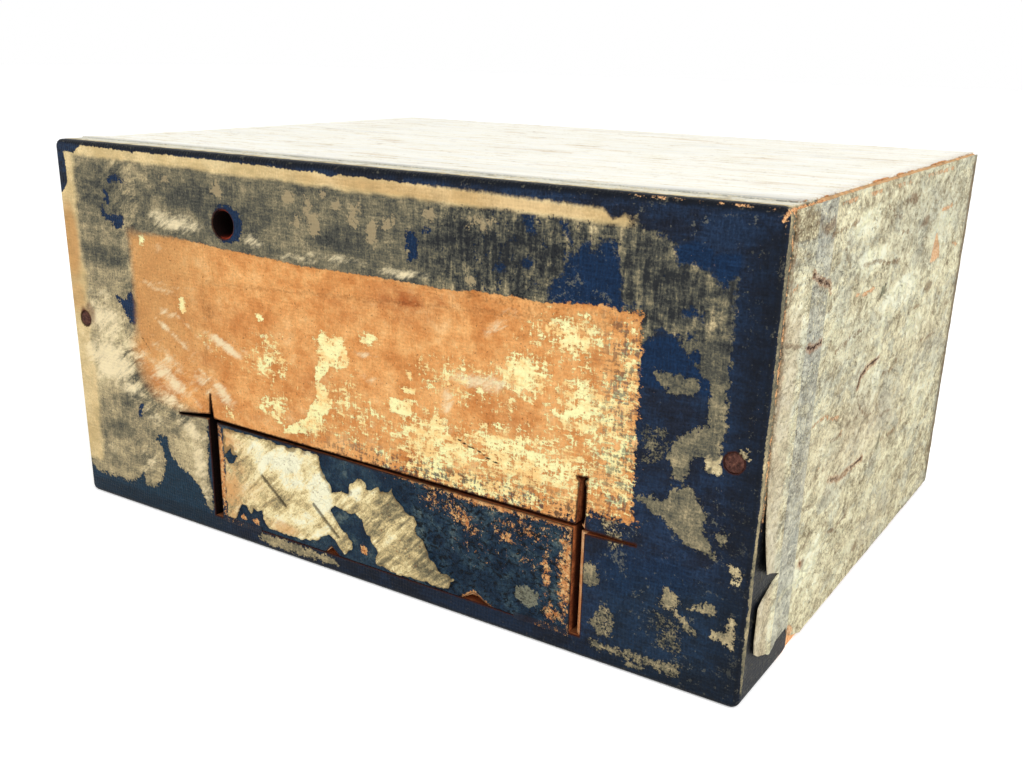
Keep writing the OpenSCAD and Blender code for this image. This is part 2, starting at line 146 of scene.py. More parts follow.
# Places where the blue cloth shows through the paper
BLUE_SPOTS = outlines("""
    22.8,106.4 23.2,108.2 26,109.2 28.6,108 31,106.5 28,107.1 24,107 | 20.4,104.2 21.8,103 22.3,100.4
    20.6,99.6 19.2,100.6 20.6,102 | 18.4,100 19.4,98 19.4,95.5 18,95.8 | 18,96.8 19.5,94.4 24,93.4
    26,92.7 28.4,94.2 28.2,96.4 24,97.4 21,96.6 | 139.1,103.6 141.5,103.2 143.4,101 143,97.8 141,95.2
    140,95.6 | 144,103.6 145.4,105 147,104.4 146.4,103.6 | 174.6,110.8 178,110.8 178,106.4 176.4,107
    174.8,108 | 184.8,110.8 187,110.4 188.2,106 186.4,107 | 181.8,91 183,95.2 186.5,98 186.8,102.8
    188.6,102.5 190,105.5 192.4,106.4 194,104 196.2,107.2 199.6,107.1 200.5,104 201.8,99 201.8,94
    208,93.3 203,92.4 200,91 190,89 | 175.3,100.4 177.7,100 177,98.4 175.4,98.8 | 166.7,98 169,98.6
    170,96.6 167.6,96.4 | 177.4,95.4 180,95 179.2,93.8 | 21.4,70.2 27,71 28.8,74.1 29.4,71 30.2,67.5
    32.2,65.4 30,64.6 29.8,63.2 27.2,62.4 25.6,64.6 23.4,67.5 | 28.2,36.2 29.4,36 28.6,33.5 28.4,31
    27.4,31 27,33 | 216.2,92.6 219.6,94.8 222.4,93.4 223.4,91.2 221.6,92.4 218.6,93 | 219,88.6 220.4,89
    220.8,87.4 219.2,87.4 | 207.4,82.5 211.5,85.4 215.6,86.2 218.3,82 218.6,76 207,76 | 219.9,84
    221.6,85.3 222.3,82.4 220.4,82 | 221,81.9 223.2,80 226.6,77.4 224,76 221,78.6 | 215.6,106.6 219,108.2
    222.3,107 222.2,104.2 216,104.6 | 224.8,106 229,106.4 228,101.6 225.4,102.4""")
# The round hole in the cloth, and the oval ring of bare cloth by it: centre and half sizes
HOLE_AT, HOLE_R = (72.2, 98.4), 4.35
HOLE_RING = (74.2, 98.6, 6.2, 5.5)
NAILS_X, NAIL_Z, NAIL_R = (4.3, 232.6), 60.75, 2.55
# Spots of cream paper: centre and half sizes
CREAM_SPOTS = rows("""
    98.8,108.2,2.1,2 106,107,1.5,2.2 107.6,102.6,2.2,2.8 116.8,107.4,1.5,1 122.7,107.2,1.8,1.2
    121.6,104.2,1.7,1.8 127.8,102.2,1.6,2.4 133,104.6,2.3,1.8 110.9,110,1.2,0.8 146.4,108.2,1.5,1.1
    158.2,92.8,1.3,1 162.7,107.5,2.6,1.2 168.5,105.4,0.9,0.8 70.6,108,1.4,2 48.8,109.6,1.2,0.9
    101.4,102.2,1.6,1.6""")
# Soft pale smears
SMEARS = rows("""
    52,96.6,16,3.4,-3,0.8 84.5,94.6,5,2.8,0,0.8 115,93.4,14,1.8,0,0.6 137.5,92,8,1.8,0,0.9
    14,62,11,9,0,0.9 15,48,15,8,-12,1.3 52,31,9,4.5,-35,0.9 35,32,7,3.4,-20,0.55 30,16,7,7,0,0.45
    10,15,6,5,0,0.4 55,20,4.4,12,12,1 42,40,12,3,-8,0.7 70.3,61.5,11,1.8,-20,1 43.5,46.5,13,4.2,-28,0.95
    67.5,46,9,3,-38,0.85 162.6,67.4,12,2.8,3,0.95 152.4,58.7,2.8,7,0,0.7 168.2,83,11,2.4,42,0.55
    126.5,47,4,6,0,0.4 125,57.5,5,1.6,0,0.35 124.5,68,6,1.3,0,0.45 44,77,15,1.3,2,0.5
    44,68.5,6,2.2,-8,0.45 62.5,68.8,4,2.2,0,0.5 146,92.5,3,1.4,0,0.5 56,57,9,3,-30,0.35 24,40,8,4,0,0.9
    44,88.5,5,2,0,0.35 40,76,14,1.6,-8,0.6 46,62,12,1.4,-30,0.7 56,64,14,1.2,-32,0.6
    80,60,10,1.4,-30,0.45 84,68,8,1.2,-12,0.4 126,62,5,3,0,0.45 36,52,9,2.4,-36,0.6 54,42,8,2.4,-34,0.7
    32,50,16,5,-36,0.62 46,52,16,4,-34,0.5 60,48,12,4,-34,0.5 100,92,18,1.6,0,0.5
    36.5,50.5,14,0.7,-33,0.8 48,44,13,0.6,-35,0.8 60,51,11,0.6,-32,0.6 14,70,9,3,0,0.5""")
# Darker clouds on the paper, and stains on the bare patch
GREYS = rows("""
    18,104,13,8,0,0.55 18,83,13,4.5,0,0.9 17,24.5,11,4.2,4,0.75 60,106,26,5,0,0.5 116,99,12,4.5,0,0.7
    86,103,9,6,0,0.5 168,100,30,12,0,0.75 20,54,6,2,-10,0.6 36,47,9,2,-38,0.7 22,36,12,2.4,8,0.5
    47,27,5,1.4,-35,0.5""")
STAINS = rows("""
    138,84.6,13,6,0,0.75 146,86,12,5,0,0.45 36.5,46,8,1.9,-38,0.55 84,41,9,1.8,0,0.35 150,88,24,4,0,0.3
    106,57,9,7,0,0.35 60,56,8,3,-25,0.3 172,60,10,6,0,0.3 76,71,30,6,0,0.2 100,44,12,5,0,0.3
    66,44,10,4,-30,0.35 118,80,14,6,0,0.2""")
# Pale film, amber in the cream band, clean cloth, and the soft lower left end of the patch
PALE_FILM = rows("17,56,20,20,0,1 12,46,16,12,0,1 46,34,16,8,-30,0.5 53,24,9,18,0,1.15")
AMBER = rows("1,86,5,15,0,0.85 1,68,5,6,0,0.5 150,113.5,60,2,-1,0.35")
CLEAN = rows("218,28,9,6,0,0.5 206,26,8,8,0,0.5")
SOFT_PATCH = rows("36,47,24,15,-30,1 30,62,9,10,0,0.5")
RUST_STAINS = rows("4.3,61.6,2.3,3.6,20,1 7,63,3,4,10,0.6")

# The bare patch where a label tore the surface off the cloth, and what is rubbed through in it
PATCH = rows("""
    30.3,91.6 38.3,92 48,92.3 57,92.2 62,91.8 72.8,91.1 82.4,91 103.6,89.9 128.2,90.2 152.8,89.8 162,90.7
    173.1,90.8 180.5,90.4 192.2,91.8 197.1,92.2 202,91.6 207.6,91.2 207.8,66 208.2,39.4 196,40 192.5,36.5
    186,35 62,36 56,38 46,39 36,41 31,46 27.3,55.3 29.8,59.8 30.2,70""")
RUB_OUTLINES = outlines("""
    107.8,71.6 110.5,71.8 112,70.6 117,72.2 118.4,67 119,64.2 116.5,62.8 113,63.5 110.5,60.8 107.4,57.4
    109.4,56.4 112,52.4 111.4,49 108,47 105,43 98,39.4 92,38.6 96,42.4 102,45.4 104,50 106.6,53.4
    105.8,58 106,62 109.6,64.6 109.4,67.4 108,68.6 | 50,74.2 53,74.6 53.4,70.6 52,68.8 50.8,70.4
    51.4,72.2 | 83,73.8 85.4,74 86.6,72 84.4,71.6 | 89.4,68.4 91,67.6 92.5,66.2 91.4,65.4 89.6,66 |
    138.6,66.4 140.6,66.2 140.8,63.8 138.6,63.6 | 136.2,61.6 142.3,61.8 141.6,59.8 136.6,59.8 | 133,57.8
    142.6,58.6 140.4,56 140.8,53.6 133.4,53.6 | 148.6,56.6 150,55.2 152,52 156,50.8 155,48.6 149,49.6
    144.6,48.6""")
RUBS = rows("""
    88,60,14,10,0,0.55 89,46,9,7,0,0.56 112,67,7,6,0,0.74 104,43,9,5,25,0.6 126,72.6,4.4,3,0,0.6
    150,46,26,13,0,0.62 176,71.5,11,8,12,0.72 120,50,18,15,0,0.46 189,83,18,9,0,0.56 196,66,18,18,0,0.55
    182,48,36,14,0,0.62 168,52,20,8,0,0.56 36,90.5,2.6,2.8,0,0.6 160,39,44,5,0,0.66 70,41,5,3,0,0.5
    203,54,10,22,0,0.6 204.5,78,5,16,0,0.56 158,66,30,10,0,0.42 52,72,3,4,0,0.5 66,60,14,5,-20,0.3""")
# Fine cracks and scratches on the front
FRONT_CRACKS = outlines("155.3,50.6 160,48.8 163,48.4 165,47.2 168.8,46.2 | 31.5,58.6 33.4,56.8 34.8,55.2")

# The remains on the flap, as distances from the box's left edge
FLAP_LABEL = rows("""
    66.4,35.4 70,35.2 106.6,34.6 106,32 107.9,28.9 110,26.4 110.6,24 114.6,24.9 117.4,25.2 118,28.3
    119.9,30.7 121.7,31.3 123.9,30.4 124.5,28.3 128.2,29.8 129.4,28.9 131,28.9 133.7,31.2 134.3,28.6
    136.5,26.7 138,24.6 139.9,23.6 141,24.2 142,22.4 142.6,19 144.5,17.8 145.7,15.9 146.3,13.2 148.5,12
    150.6,9.8 155,8.6 154,7.3 153.4,5.2 127.6,5.2 127.3,6.7 128.2,9.2 126.3,12.3 123.9,15.3 122,18.4
    119.6,19.3 115.3,19 112.2,20 110.3,18.4 111,16.6 114.6,12.9 118.3,10.1 118.3,8 115.9,6.7 115.3,5.6
    113.7,6.9 112.2,9.2 109.1,10.5 106.6,9.2 105,7.4 103,7 101.7,5.8 98,5.6 84,5.6 82,8.5 81.8,10.6
    78.2,10.8 77,8.6 75.5,10.8 73.2,11 71.4,8.6 69.6,5.6 66.6,5.4 66,16 66.8,24.4 66.2,29""")
FLAP_HOLE = rows("66.4,25.8 69.6,28.8 70.2,27 72.2,27 70.4,24.4 68.2,23.6")
FLAP_CREASES = outlines("82.6,22.7 86.4,19.6 91.9,15 | 103.6,18.4 108,14.4 112.8,10.4")
FLAP_RUBS = rows("""
    164,34.8,36,2.6,-1,0.9 157,28.5,12,5,-32,0.62 172,26.8,6,3.4,0,0.66 184.6,20,2.2,10,0,0.72
    190.6,22,3.4,20,0,0.85 187,8,5,5,0,0.66 148,30.5,9,4,-20,0.55 178,30,16,5,0,0.5 180,22,9,8,0,0.36
    164,20,14,6,0,0.3 123,9,2,1.9,0,0.95 73,6.6,1.9,1.2,0,0.9 78.5,6.6,2.6,1.4,0,0.95 64.8,20,1.8,22,0,1""")
LABEL_WHITE = rows("84,29,9,5,-14,0.8 94,27,9,7,-40,1 106,23,6,9,30,1 120,27,3,4,0,0.9 100,12,10,4,-30,0.5")
LABEL_WARM = rows("89,7.4,10,2.6,0,0.7 80,17,9,5,0,0.3")
FLAP_SCRAPS = outlines("175,12.8 179,13.6 182.8,12.6 182.4,9 178.6,8 175.6,9.6")
# Chips at the flap's foot: middle, width and height
CHIPS = [(110.55, 6, 2.3), (162.75, 9.6, 2.5)]

# The saw cuts, as in the boards
CUT_X0, CUT_X1, BEVEL_X, BEVEL_TOP = 60.25, 193.55, 195.35, 46.4
OPENING = [(CUT_X0, FLAP_FOOT), (CUT_X0, 37.3), (CUT_X1, 35.4), (CUT_X1, BEVEL_TOP), (BEVEL_X, BEVEL_TOP),
           (BEVEL_X, FLAP_FOOT)]
OVERCUTS = outlines("""
    46.95,35.8 60.75,37 60.75,38.5 57.25,37.9 46.95,36.5 | 60.65,36.8 62.65,36.8 62.05,41.3 61.85,45.1
    61.45,45.1 60.95,41.3 | 192.65,34.9 194.55,34.9 195.05,38.4 194.95,47.6 195.65,48 195.65,48.6
    192.35,48.4 192.35,47.8 193.05,47.4 | 193.05,33.2 209.75,33.7 209.75,34.3 193.05,34.5""")
FLAP_TOPS = 36.1, 34.2


# Shapes as functions on a grid

def smooth(t):
    """A smooth step: 0 below 0, 1 above 1 and 3 t squared minus 2 t cubed between."""
    t = np.clip(t, 0, 1)
    return t * t * (3 - 2 * t)


def ramp(t, start, end):
    """A smooth step that is 0 at start and 1 at end."""
    return smooth((t - start) / (end - start))


def waves(u, v, size, seed, octaves=3):
    """Smooth random waves from -1 to 1: random values on a square lattice, blended with a smooth
    step between lattice points, and added up at half the size and half the height for each octave."""
    total, reach, count = 0, 0, 97
    for octave in range(octaves):
        table = np.random.default_rng(seed + octave).uniform(-1, 1, (count, count))
        p, q = u * 2 ** octave / size, v * 2 ** octave / size
        i, j = np.floor(p).astype(int), np.floor(q).astype(int)
        a, b = smooth(p - i), smooth(q - j)
        low, high = (
            table[row % count, j % count] * (1 - b) + table[row % count, (j + 1) % count] * b
            for row in (i, i + 1))
        total = total + (low * (1 - a) + high * a) * 0.5 ** octave
        reach += 0.5 ** octave
    return total / reach


def off_line(u, v, lines):
    """Distance from each point to the nearest of several open lines."""
    near = np.full(u.shape, np.inf)
    for line in lines:
        for (a0, a1), (b0, b1) in zip(line, line[1:]):
            d0, d1 = b0 - a0, b1 - a1
            t = np.clip(((u - a0) * d0 + (v - a1) * d1) / (d0 * d0 + d1 * d1), 0, 1)
            near = np.minimum(near, (u - a0 - t * d0) ** 2 + (v - a1 - t * d1) ** 2)
    return np.sqrt(near)


def depth_in(u, v, outline):
    """Distance from each point to the nearest side of a closed outline, positive inside and
    negative outside. Inside is found by counting the sides that a line to the right crosses."""
    closed = outline + outline[:1]
    inside = np.zeros(u.shape, bool)
    for (a0, a1), (b0, b1) in zip(closed, closed[1:]):
        if b1 != a1:
            inside ^= ((a1 > v) != (b1 > v)) & (u < (b0 - a0) * (v - a1) / (b1 - a1) + a0)
    return np.where(inside, 1, -1) * off_line(u, v, [closed])


def deepest(u, v, outlines):
    """The greatest depth in any of several outlines."""
    return np.maximum.reduce([depth_in(u, v, o) for o in outlines])


def strongest(u, v, spots, fade):
    """The strongest of several soft ovals, given as centre, half length, half width, angle and strength.
    fade turns the scaled distance from an oval's middle into a share of its strength."""
    best = np.zeros(u.shape)
    for x, z, long, short, turn, strength in spots:
        c, s = math.cos(math.radians(turn)), math.sin(math.radians(turn))
        along = ((u - x) * c + (v - z) * s) / long
        across = ((v - z) * c - (u - x) * s) / short
        best = np.maximum(best, strength * fade(np.hypot(along, across)))
    return best


def clouds(u, v, spots):
    """Soft ovals that are full at their middle and fade out at their rim."""
    return strongest(u, v, spots, lambda r: smooth(1.5 * (1.15 - r)))


def mist(u, v, spots):
    """Soft ovals that fade out from their middle: e to the minus 1.3 times the distance squared."""
    return strongest(u, v, spots, lambda r: np.exp(-1.3 * r ** 2))


def oval(u, v, x, z, half_w, half_h):
    """About the depth in an upright oval: one minus the scaled radius, times the shorter half size."""
    return (1 - np.hypot((u - x) / half_w, (v - z) / half_h)) * min(half_w, half_h)


def lines_through(low, high, step, stops=()):
    """Grid lines about a step apart from low to high that pass through every stop."""
    marks = sorted({low, high, *[s for s in stops if low < s < high]})
    parts = [np.linspace(a, b, max(2, round((b - a) / step) + 1))[:-1] for a, b in zip(marks, marks[1:])]
    return np.append(np.concatenate(parts), high)


def trimmed_grid(u_lines, v_lines, cut=None):
    """A grid of four-sided faces with everything removed where cut(u, v) is above 0. Points within half
    a step of the cut's outline move on to it along its steepest direction, and faces there are halved
    along the line between two such points, so that the trimmed edge is clean."""
    u, v = (a.copy() for a in np.meshgrid(u_lines, v_lines, indexing="ij"))
    index = np.arange(u.size).reshape(u.shape)
    quads = np.stack([index[:-1, :-1], index[1:, :-1], index[1:, 1:], index[:-1, 1:]], -1).reshape(-1, 4)
    if cut is None:
        return u.ravel(), v.ravel(), quads, np.zeros((0, 3), int)
    step = 0.52 * max(np.diff(u_lines).max(), np.diff(v_lines).max())
    on_edge = np.zeros(u.shape, bool)
    tiny, least_slope, least_area = 1e-3, 0.3, 1e-4
    for _ in range(3):
        depth = cut(u, v)
        slope_u = (cut(u + tiny, v) - cut(u - tiny, v)) / (2 * tiny)
        slope_v = (cut(u, v + tiny) - cut(u, v - tiny)) / (2 * tiny)
        if not on_edge.any():
            on_edge = np.abs(depth) < step
            on_edge[[0, -1], :] = on_edge[:, [0, -1]] = False
        size = np.maximum(np.hypot(slope_u, slope_v), least_slope) ** 2
        u -= np.where(on_edge, depth * slope_u / size, 0)
        v -= np.where(on_edge, depth * slope_v / size, 0)
    u, v, on_edge, depth = u.ravel(), v.ravel(), on_edge.ravel(), cut(u, v).ravel()
    inside = depth > 0.02
    mixed = on_edge[quads].any(1) | (inside[quads].any(1) & ~inside[quads].all(1))
    whole = quads[~mixed & ~inside[quads].any(1)]
    split = quads[mixed]
    other = on_edge[split[:, 1]] & on_edge[split[:, 3]]
    tris = np.concatenate([
        np.where(other[:, None], split[:, [0, 1, 3]], split[:, [0, 1, 2]]),
        np.where(other[:, None], split[:, [1, 2, 3]], split[:, [0, 2, 3]]),
    ])
    (u0, u1, u2), (v0, v1, v2) = u[tris].T, v[tris].T
    area = np.abs((u1 - u0) * (v2 - v0) - (u2 - u0) * (v1 - v0))
    return u, v, whole, tris[(cut(u[tris].mean(1), v[tris].mean(1)) <= 0) & (area > least_area)]


def outer_edges(faces):
    """The directed sides of faces that no other face shares, as pairs of point numbers."""
    pairs = np.concatenate([np.stack([f, np.roll(f, -1, 1)], -1).reshape(-1, 2) for f in faces if len(f)])
    width = pairs.max() + 1
    code, back = pairs[:, 0] * width + pairs[:, 1], pairs[:, 1] * width + pairs[:, 0]
    return pairs[~np.isin(code, back)]


def thick_piece(name, points, faces, inward, fields, closed):
    """A sheet with thickness: the outer faces, a rim that runs inwards from each free edge on points of
    its own, so that it stays crisp, and for a closed piece the same faces again, turned round, inside.
    points and inward are in millimetres, and fields are a value for each point or one for all."""
    count = len(points)
    everyone = np.arange(count)
    inner = points + inward
    start, end = outer_edges(faces).T
    n = len(start)
    rim = np.arange(n)[:, None] + np.array([1, 0, 3, 2]) * n + count
    parts = [f for f in faces if len(f)] + [rim]
    sources = [everyone, start, end, end, start]
    places = [points, points[start], points[end], inner[end], inner[start]]
    if closed:
        parts += [f[:, ::-1] + count + 4 * n for f in faces if len(f)]
        sources.append(everyone)
        places.append(inner)
    source = np.concatenate(sources)
    fields = {key: np.broadcast_to(values, count)[source] for key, values in fields.items()}
    return mesh_object(name, np.concatenate(places), parts, fields)


def mesh_object(name, points, parts, fields=None):
    """Puts points in millimetres, arrays of faces and named values into a new smooth mesh object.
    Only the points that faces use are kept."""
    used = np.unique(np.concatenate([p.ravel() for p in parts]))
    renumber = np.zeros(len(points), int)
    renumber[used] = np.arange(len(used))
    mesh = bpy.data.meshes.new(name)
    faces = [row for part in parts for row in renumber[part].tolist()]
    mesh.from_pydata((points[used] * MM).tolist(), [], faces)
    for key, values in (fields or {}).items():
        attribute = mesh.attributes.new(key, "FLOAT", "POINT")
        attribute.data.foreach_set("value", values[used].astype(np.float32))
    mesh.polygons.foreach_set("use_smooth", np.ones(len(mesh.polygons), bool))
    mesh.update()
    obj = bpy.data.objects.new(name, mesh)
    bpy.context.scene.collection.objects.link(obj)
    return obj


# Shader nodes

def srgb(*levels):
    """A colour written as 0 to 255 on a screen, as Blender's linear values."""
    shares = [level / 255 for level in levels]
    return tuple(s / 12.92 if s <= 0.04045 else ((s + 0.055) / 1.055) ** 2.4 for s in shares) + (1,)


def paint(colour):
    """Three numbers are a screen colour; four numbers or a node's output are kept."""
    return srgb(*colour) if isinstance(colour, tuple) and len(colour) == 3 else colour


class Value:
    """A node's output. Sums and products of values, or of values and numbers, make math nodes."""

    def __init__(self, bench, socket):
        self.bench, self.socket = bench, socket

    def __add__(self, other):
        return self.bench.sum("ADD", self, other)

    def __radd__(self, other):
        return self.bench.sum("ADD", other, self)

    def __sub__(self, other):
        return self.bench.sum("SUBTRACT", self, other)

    def __rsub__(self, other):
        return self.bench.sum("SUBTRACT", other, self)

    def __mul__(self, other):
        return self.bench.sum("MULTIPLY", self, other)

    __rmul__ = __mul__

    def __truediv__(self, other):
        return self.bench.sum("DIVIDE", self, other)


class Bench:
    """Adds nodes to one shader tree. Each method returns the value that holds its result."""

    def __init__(self, owner, tree):
        self.owner, self.tree = owner, tree

    def node(self, kind, inputs=(), **settings):
        made = self.tree.nodes.new(kind)
        for key, value in settings.items():
            setattr(made, key, value)
        for socket, value in inputs:
            self.put(made.inputs[socket], value)
        return made

    def put(self, socket, value):
        if isinstance(value, Value):
            self.tree.links.new(value.socket, socket)
        else:
            socket.default_value = value

    def made(self, kind, output, inputs, **settings):
        """One output, by number or name, of a new node."""
        return Value(self, self.node(kind, inputs, **settings).outputs[output])

    def sum(self, operation, a, b=0.0):
        return self.made("ShaderNodeMath", 0, [(0, a), (1, b)], operation=operation)

    def clamped(self, value):
        """Keeps the result of a sum or product within 0 and 1."""
        value.socket.node.use_clamp = True
        return value

    def most(self, a, b):
        return self.sum("MAXIMUM", a, b)

    def off(self, value, middle=0.5):
        return self.sum("ABSOLUTE", value - middle)

    def rise(self, value, low, high):
        """0 below low, 1 above high and a smooth rise between; falls when low is above high."""
        if low > high:
            return 1.0 - self.rise(value, high, low)
        return self.made("ShaderNodeMapRange", 0, [("Value", value), ("From Min", low), ("From Max", high)],
                         interpolation_type="SMOOTHSTEP")

    def mix(self, share, a, b, blend_type="MIX"):
        return self.made("ShaderNodeMix", 2, [(0, share), (6, paint(a)), (7, paint(b))], data_type="RGBA",
                         blend_type=blend_type)

    def shade(self, colour, value, depth):
        """Darkens or lightens a colour by depth times how far a value lies from one half."""
        level = 1.0 + (value - 0.5) * depth
        grey = self.made("ShaderNodeCombineColor", 0, [(0, level), (1, level), (2, level)])
        return self.mix(1.0, colour, grey, "MULTIPLY")

    def mapped(self, vector, scale=(1, 1, 1), move=(0, 0, 0), turn=(0, 0, 0)):
        return self.made("ShaderNodeMapping", 0, [
            ("Vector", vector), ("Scale", scale), ("Location", move), ("Rotation", turn)])

    def millimetres(self, scale=(1, 1, 1), move=(0, 0, 0)):
        place = self.made("ShaderNodeTexCoord", "Object", [])
        return self.mapped(place, tuple(s / MM for s in scale), move)

    def slanting(self, vector, turn, along=0.25):
        """Coordinates turned about Y and stretched along the turned X, for streaks that slope down."""
        return self.mapped(self.mapped(vector, turn=(0, turn, 0)), (along, 1, 1))

    def parts(self, vector):
        """The three coordinates of a vector."""
        outputs = self.node("ShaderNodeSeparateXYZ", [(0, vector)]).outputs
        return [Value(self, output) for output in outputs]

    def noise(self, vector, size, detail=3.0, rough=0.55, bend=0.0):
        return self.made("ShaderNodeTexNoise", "Fac", [
            ("Vector", vector), ("Scale", 1 / size), ("Detail", detail), ("Roughness", rough),
            ("Distortion", bend)])

    def colours(self, value, stops):
        """A colour ramp with stops (place, colour)."""
        result = self.made("ShaderNodeValToRGB", 0, [(0, value)])
        points = result.socket.node.color_ramp.elements
        for k, (place, colour) in enumerate(stops):
            point = points[0] if k == 0 else points[-1] if k == len(stops) - 1 else points.new(place)
            point.position, point.color = place, paint(colour)
        return result

    def field(self, name):
        return self.made("ShaderNodeAttribute", "Fac", [], attribute_name=name)

    def group(self, name, **inputs):
        """The outputs of a node group, by name."""
        made = self.node("ShaderNodeGroup", node_tree=bpy.data.node_groups[name])
        for key, value in inputs.items():
            self.put(made.inputs[key.capitalize()], value)
        return {output.name: Value(self, output) for output in made.outputs}

    def ragged(self, field, place, coarse, fine, soft):
        depth = self.field(field)
        made = self.group("ragged edge", place=place, depth=depth, coarse=coarse, fine=fine, soft=soft)
        return made["Mask"]

    def worn(self, place, grain, share):
        return self.group("worn through", place=place, grain=grain, share=share)["Mask"]

    def surface(self, colour, roughness, height, metallic=0.0, specular=0.5):
        """A Principled surface whose bump is a height in millimetres. Returns the material."""
        bump = self.made("ShaderNodeBump", 0, [("Strength", 1.0), ("Distance", MM), ("Height", height)])
        shader = self.made("ShaderNodeBsdfPrincipled", 0, [
            ("Base Color", colour), ("Roughness", roughness), ("Metallic", metallic),
            ("Specular IOR Level", specular), ("Normal", bump)])
        self.node("ShaderNodeOutputMaterial", [("Surface", shader)])
        return self.owner


def new_group(name, inputs, outputs, build):
    """A node group: build(bench, values) takes its inputs by name and returns its outputs in order."""
    tree = bpy.data.node_groups.new(name, "ShaderNodeTree")
    for labels, way in ((inputs, "INPUT"), (outputs, "OUTPUT")):
        for label in labels.split(", "):
            kind = "NodeSocketVector" if label == "Place" else "NodeSocketFloat"
            tree.interface.new_socket(label, in_out=way, socket_type=kind)
    bench = Bench(None, tree)
    start = bench.node("NodeGroupInput").outputs
    end = bench.node("NodeGroupOutput").inputs
    for socket, value in zip(end, build(bench, {output.name: Value(bench, output) for output in start})):
        bench.put(socket, value)


def ragged_edge(b, given):
    """Turns a depth in millimetres into a mask whose outline wanders by a coarse and a fine noise, and
    which is as soft as asked."""
    coarse = (b.noise(given["Place"], 4.0, 3, 0.6) - 0.5) * given["Coarse"]
    fine = (b.noise(given["Place"], 1.0, 5, 0.78) - 0.5) * given["Fine"]
    whole = given["Depth"] + (coarse + fine) * 2.0
    return [b.rise(whole / given["Soft"], -1.0, 1.0)]


def worn_through(b, given):
    """Turns a share from 0 to 1 into flecks that cover about that share of the surface."""
    place = given["Place"]
    grain = b.noise(place, 2.2, 7, 0.8) * 0.66 + given["Grain"] * 0.34
    limit = 0.645 - given["Share"] * 0.29
    return [b.rise(grain - limit, -0.012, 0.018)]


def cloth_weave(b, given):
    """Threads both ways. Height is a row of ridges each way, changing places; slubs is fine noise drawn
    out along the threads of either direction, whichever lies on top."""
    place = given["Place"]
    parts = b.parts(place)
    wander = (b.noise(place, 9.0, 2) - 0.5) * 2.4
    ridges = [b.sum("SINE", (parts[axis] + wander) * math.tau / given["Pitch"]) for axis in (0, 2)]
    upright = b.noise(b.mapped(place, (1, 1, 0.16)), 0.55, 3, 0.6)
    level = b.noise(b.mapped(place, (0.13, 1, 1), (9, 3, 5)), 0.55, 3, 0.6)
    height = (ridges[0] + ridges[1]) * b.noise(place, 3.0, 2)
    return [height, b.most(upright, level) * 0.6 + (upright + level) * 0.2]


def paper_flakes(b, given):
    """Flaking paper: patches drawn out along the sheet, torn flakes with a painted shadow line along their
    edges, fine cracks and specks.
    """
    place = given["Place"]
    long = b.mapped(place, (0.45, 0.45, 1.0))
    patches = b.noise(long, 7.0, 8, 0.72, 0.6)
    second = b.noise(b.mapped(long, (1, 1, 1), (31, 17, 7)), 4.0, 8, 0.78, 0.5)
    fine = b.noise(place, 0.6, 4, 0.78)
    grain = b.noise(b.mapped(place, (0.7, 0.7, 1)), 2.0, 6, 0.78, 0.4) * 0.6 + fine * 0.4
    bright = b.rise(second, 0.52, 0.58)
    dirty = b.rise(b.noise(b.mapped(place, (0.6, 0.6, 1), (3, 60, 9)), 5.0, 8, 0.8, 0.5), 0.53, 0.62)
    some = b.rise(b.noise(place, 8.0, 3, 0.6), 0.45, 0.6)
    # Painted shadow: thin lines along the edges of the flakes.
    rim_shadows = b.most(b.rise(b.off(patches, 0.47), 0.007, 0.0), b.rise(b.off(second, 0.52), 0.008, 0.0)) * some
    bare = b.rise(second, 0.645, 0.665)
    thin = b.noise(b.mapped(place, (0.4, 0.4, 1), (5, 40, 0)), 3.4, 6, 0.7, 0.8)
    cracks = b.rise(b.off(thin), 0.008, 0.002) * b.rise(b.noise(place, 9.0, 3, 0.6), 0.5, 0.58)
    specks = b.rise(b.noise(b.mapped(place, (0.8, 0.8, 1)), 1.1, 4, 0.7), 0.63, 0.68)
    height = patches * 0.5 + bright * 0.1 + grain * 0.6 + cracks * -0.25 + specks * -0.15
    return [height, patches, bright, grain, rim_shadows, cracks, specks, dirty, bare]


def wood_grain(b, given):
    """Grain that runs along X: noise stretched along the board, with darker late wood in narrow lines."""
    long = b.mapped(given["Place"], (0.06, 1, 1))
    broad = b.noise(long, 3.4, 4, 0.6, 0.4)
    fibres = b.noise(long, 0.5, 3, 0.6)
    late = b.rise(b.sum("SINE", broad * 34.0), 0.2, 1.0)
    return [broad * 0.7 + fibres * 0.3, late, fibres]


def build_groups():
    new_group("ragged edge", "Place, Depth, Coarse, Fine, Soft", "Mask", ragged_edge)
    new_group("worn through", "Place, Grain, Share", "Mask", worn_through)
    new_group("cloth weave", "Place, Pitch", "Height, Slubs", cloth_weave)
    new_group("paper flakes", "Place", "Height, Patches, Bright, Grain, Rims, Cracks, Specks, Dirty, Bare",
              paper_flakes)
    new_group("wood grain", "Place", "Tone, Late wood, Fibres", wood_grain)


def new_bench(owner):
    """A bench at the emptied shader tree of a material or world."""
    owner.use_nodes = True
    owner.node_tree.nodes.clear()
    return Bench(owner, owner.node_tree)


def new_material(name):
    return new_bench(bpy.data.materials.new(name))


